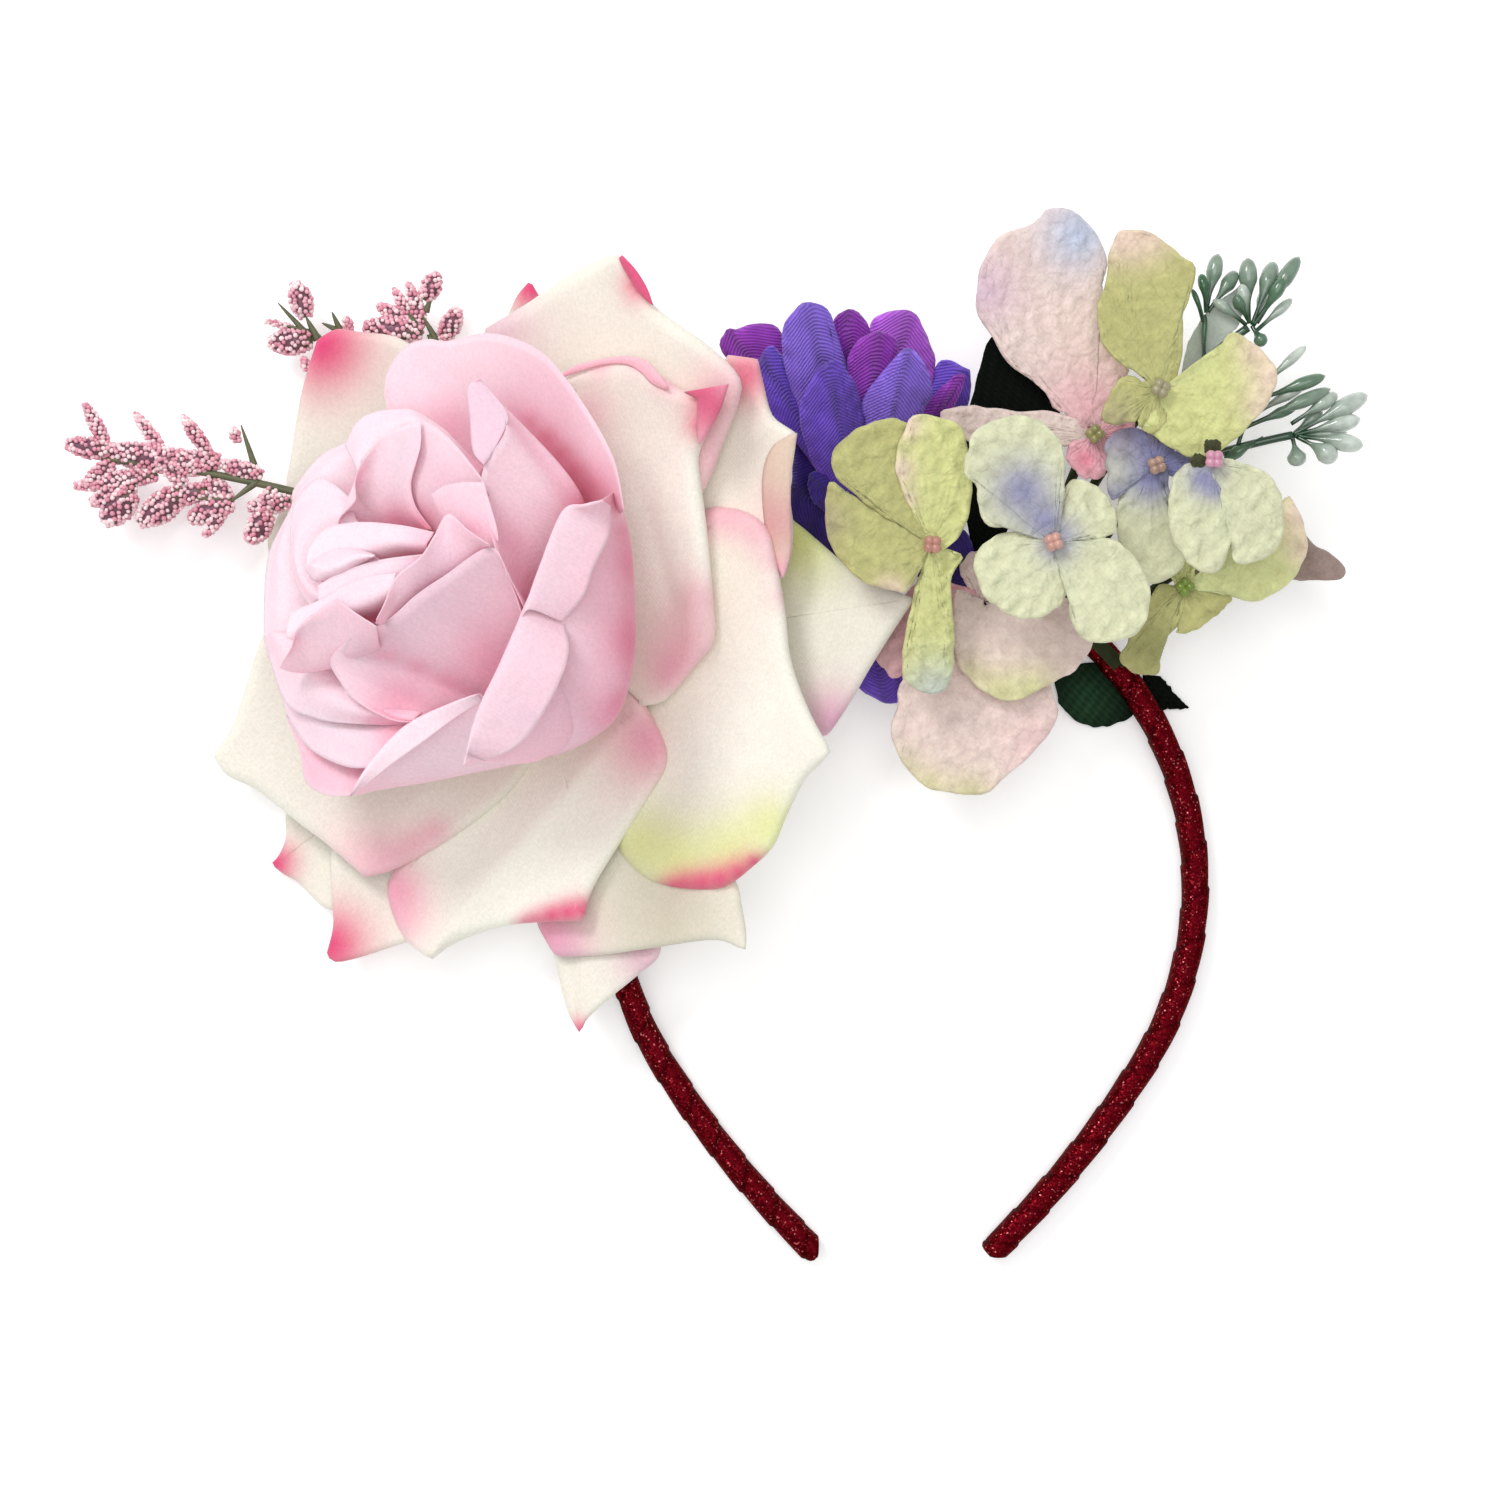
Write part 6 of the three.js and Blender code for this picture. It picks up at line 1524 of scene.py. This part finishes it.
# Each frost sprig: stem points, the height of its twigs, and clubs from foot to tip in pixels with a width
# in millimetres and a share of frosting
FROST_SPRIGS = [
    dict(name="upper", high=26.0, stem=[(45.8, 26, 24), (55, 36, 25), (64.5, 42.5, 27)], clubs_px=[
        (1204, 357, 1205, 314, 1.2, 0), (1203, 321, 1192, 289, 1.1, 0), (1206, 312, 1201, 274, 2.0, 0),
        (1206, 312, 1218, 254, 3.1, 0.35), (1208, 312, 1236, 272, 2.9, 0.25),
        (1246, 325, 1213, 300, 2.1, 0.6), (1250, 323, 1236, 295, 2.6, 0.1),
        (1249, 323, 1248, 258, 3.6, 0.35), (1252, 325, 1274, 262, 3.4, 0.35),
        (1253, 326, 1299, 257, 3.1, 0.25), (1257, 323, 1285, 277, 2.7, 0.1),
        (1255, 332, 1292, 299, 2.0, 0.8), (1252, 326, 1264, 345, 2.7, 0.1),
        (1249, 323, 1241, 284, 2.5, 0.7), (1255, 321, 1266, 290, 2.2, 0.9)]),
    dict(name="right", high=26.0, stem=[(46.1, 14.9, 24), (62, 20, 25), (73, 22, 27)], clubs_px=[
        (1238, 445, 1257, 388, 1.0, 0), (1244, 428, 1330, 389, 2.7, 0.3), (1252, 402, 1325, 376, 2.6, 0.15),
        (1256, 391, 1306, 346, 2.0, 0.9), (1292, 435, 1367, 395, 3.6, 0.8),
        (1294, 435, 1360, 419, 3.4, 0.9), (1297, 436, 1363, 446, 3.5, 0.9),
        (1292, 436, 1298, 466, 3.7, 0.5), (1297, 437, 1336, 460, 4.0, 0.8),
        (1291, 424, 1337, 394, 2.9, 0.7), (1247, 419, 1307, 382, 2.5, 0.9),
        (1263, 438, 1224, 459, 2.5, 0.1), (1291, 436, 1322, 410, 2.6, 0.5),
        (1294, 436, 1347, 433, 2.5, 0.8), (1244, 428, 1297, 406, 2.2, 0.1)]),
]
# The grey leaf: root, rim and dabs in pixels, the place and height of its foot, and its lift in degrees
FROST_LEAF = dict(
    root_px=(1181, 380), centre=(52.0, 33.0), high=22.5, lift=4,
    edge_px=[(1181, 376), (1185, 352), (1197, 325), (1213, 304), (1232, 291), (1247, 287), (1248, 305),
             (1234, 333), (1214, 357), (1196, 374), (1184, 384)],
    dabs_px=[(1204, 335, 22, FROST_MID, 0.25)])
frost_plastic = glossy_finish("frosted_green_plastic", roughness=0.22, coat=0.5)
for number, sprig in enumerate(FROST_SPRIGS):
    chance = np.random.default_rng(600 + number)
    stem_path = [bent_line(sprig["stem"], share) for share in np.linspace(0, 1, STEM_RINGS)]
    stem_radii = np.full(STEM_RINGS, FROST_STEM)
    parts = [(tube_rings(stem_path, stem_radii, sides=10), np.tile(FROST_GREEN, (STEM_RINGS, 1)))]
    for club in sprig["clubs_px"]:
        shares = np.linspace(0, 1, CLUB_RINGS)
        path = twig_path(club, sprig["high"], sprig["high"] + chance.uniform(-2.0, 2.5), CLUB_RINGS)
        path = path + np.outer(np.sin(math.pi * shares), [0.0, 0.0, chance.uniform(-0.6, 1.2)])
        swell = np.clip((shares - CLUB_FROM) / CLUB_SWELL, 0, 1) ** 1.5
        close = np.clip((shares - CLUB_END) / (1 - CLUB_END), 0, 1) ** 2.2
        girth = FROST_STALK + (club[4] / 2 - FROST_STALK) * swell
        girth = girth * np.sqrt(np.clip(1 - close, 0.02, 1))
        frost = np.clip((shares - FROST_FROM) / FROST_GROW, 0, 1)[:, None]
        shade = FROST_GREEN + (FROST_MID - FROST_GREEN) * np.minimum(1, FROST_MID_GAIN * frost)
        shade = shade + (FROST_WHITE - shade) * frost * club[5]
        parts.append((tube_rings(path, girth, sides=12), shade))
    piece = ringed_piece("frost_clubs_" + sprig["name"], parts, frost_plastic)
    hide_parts("frost_sprig_" + sprig["name"])
frost_sheet = lobe_sheet(
    FROST_LEAF["root_px"], FROST_LEAF["edge_px"], FROST_LEAF["centre"], FROST_LEAF["high"],
    FROST_LEAF["lift"], roll=0.4, curl=40, keel=0.6, crinkle=0.1, seed=700, base=FROST_WHITE,
    dabs=FROST_LEAF["dabs_px"])
frost_leaf = sewn_piece("frost_leaf", [frost_sheet], FROST_LEAF_THICK, cream_silk)
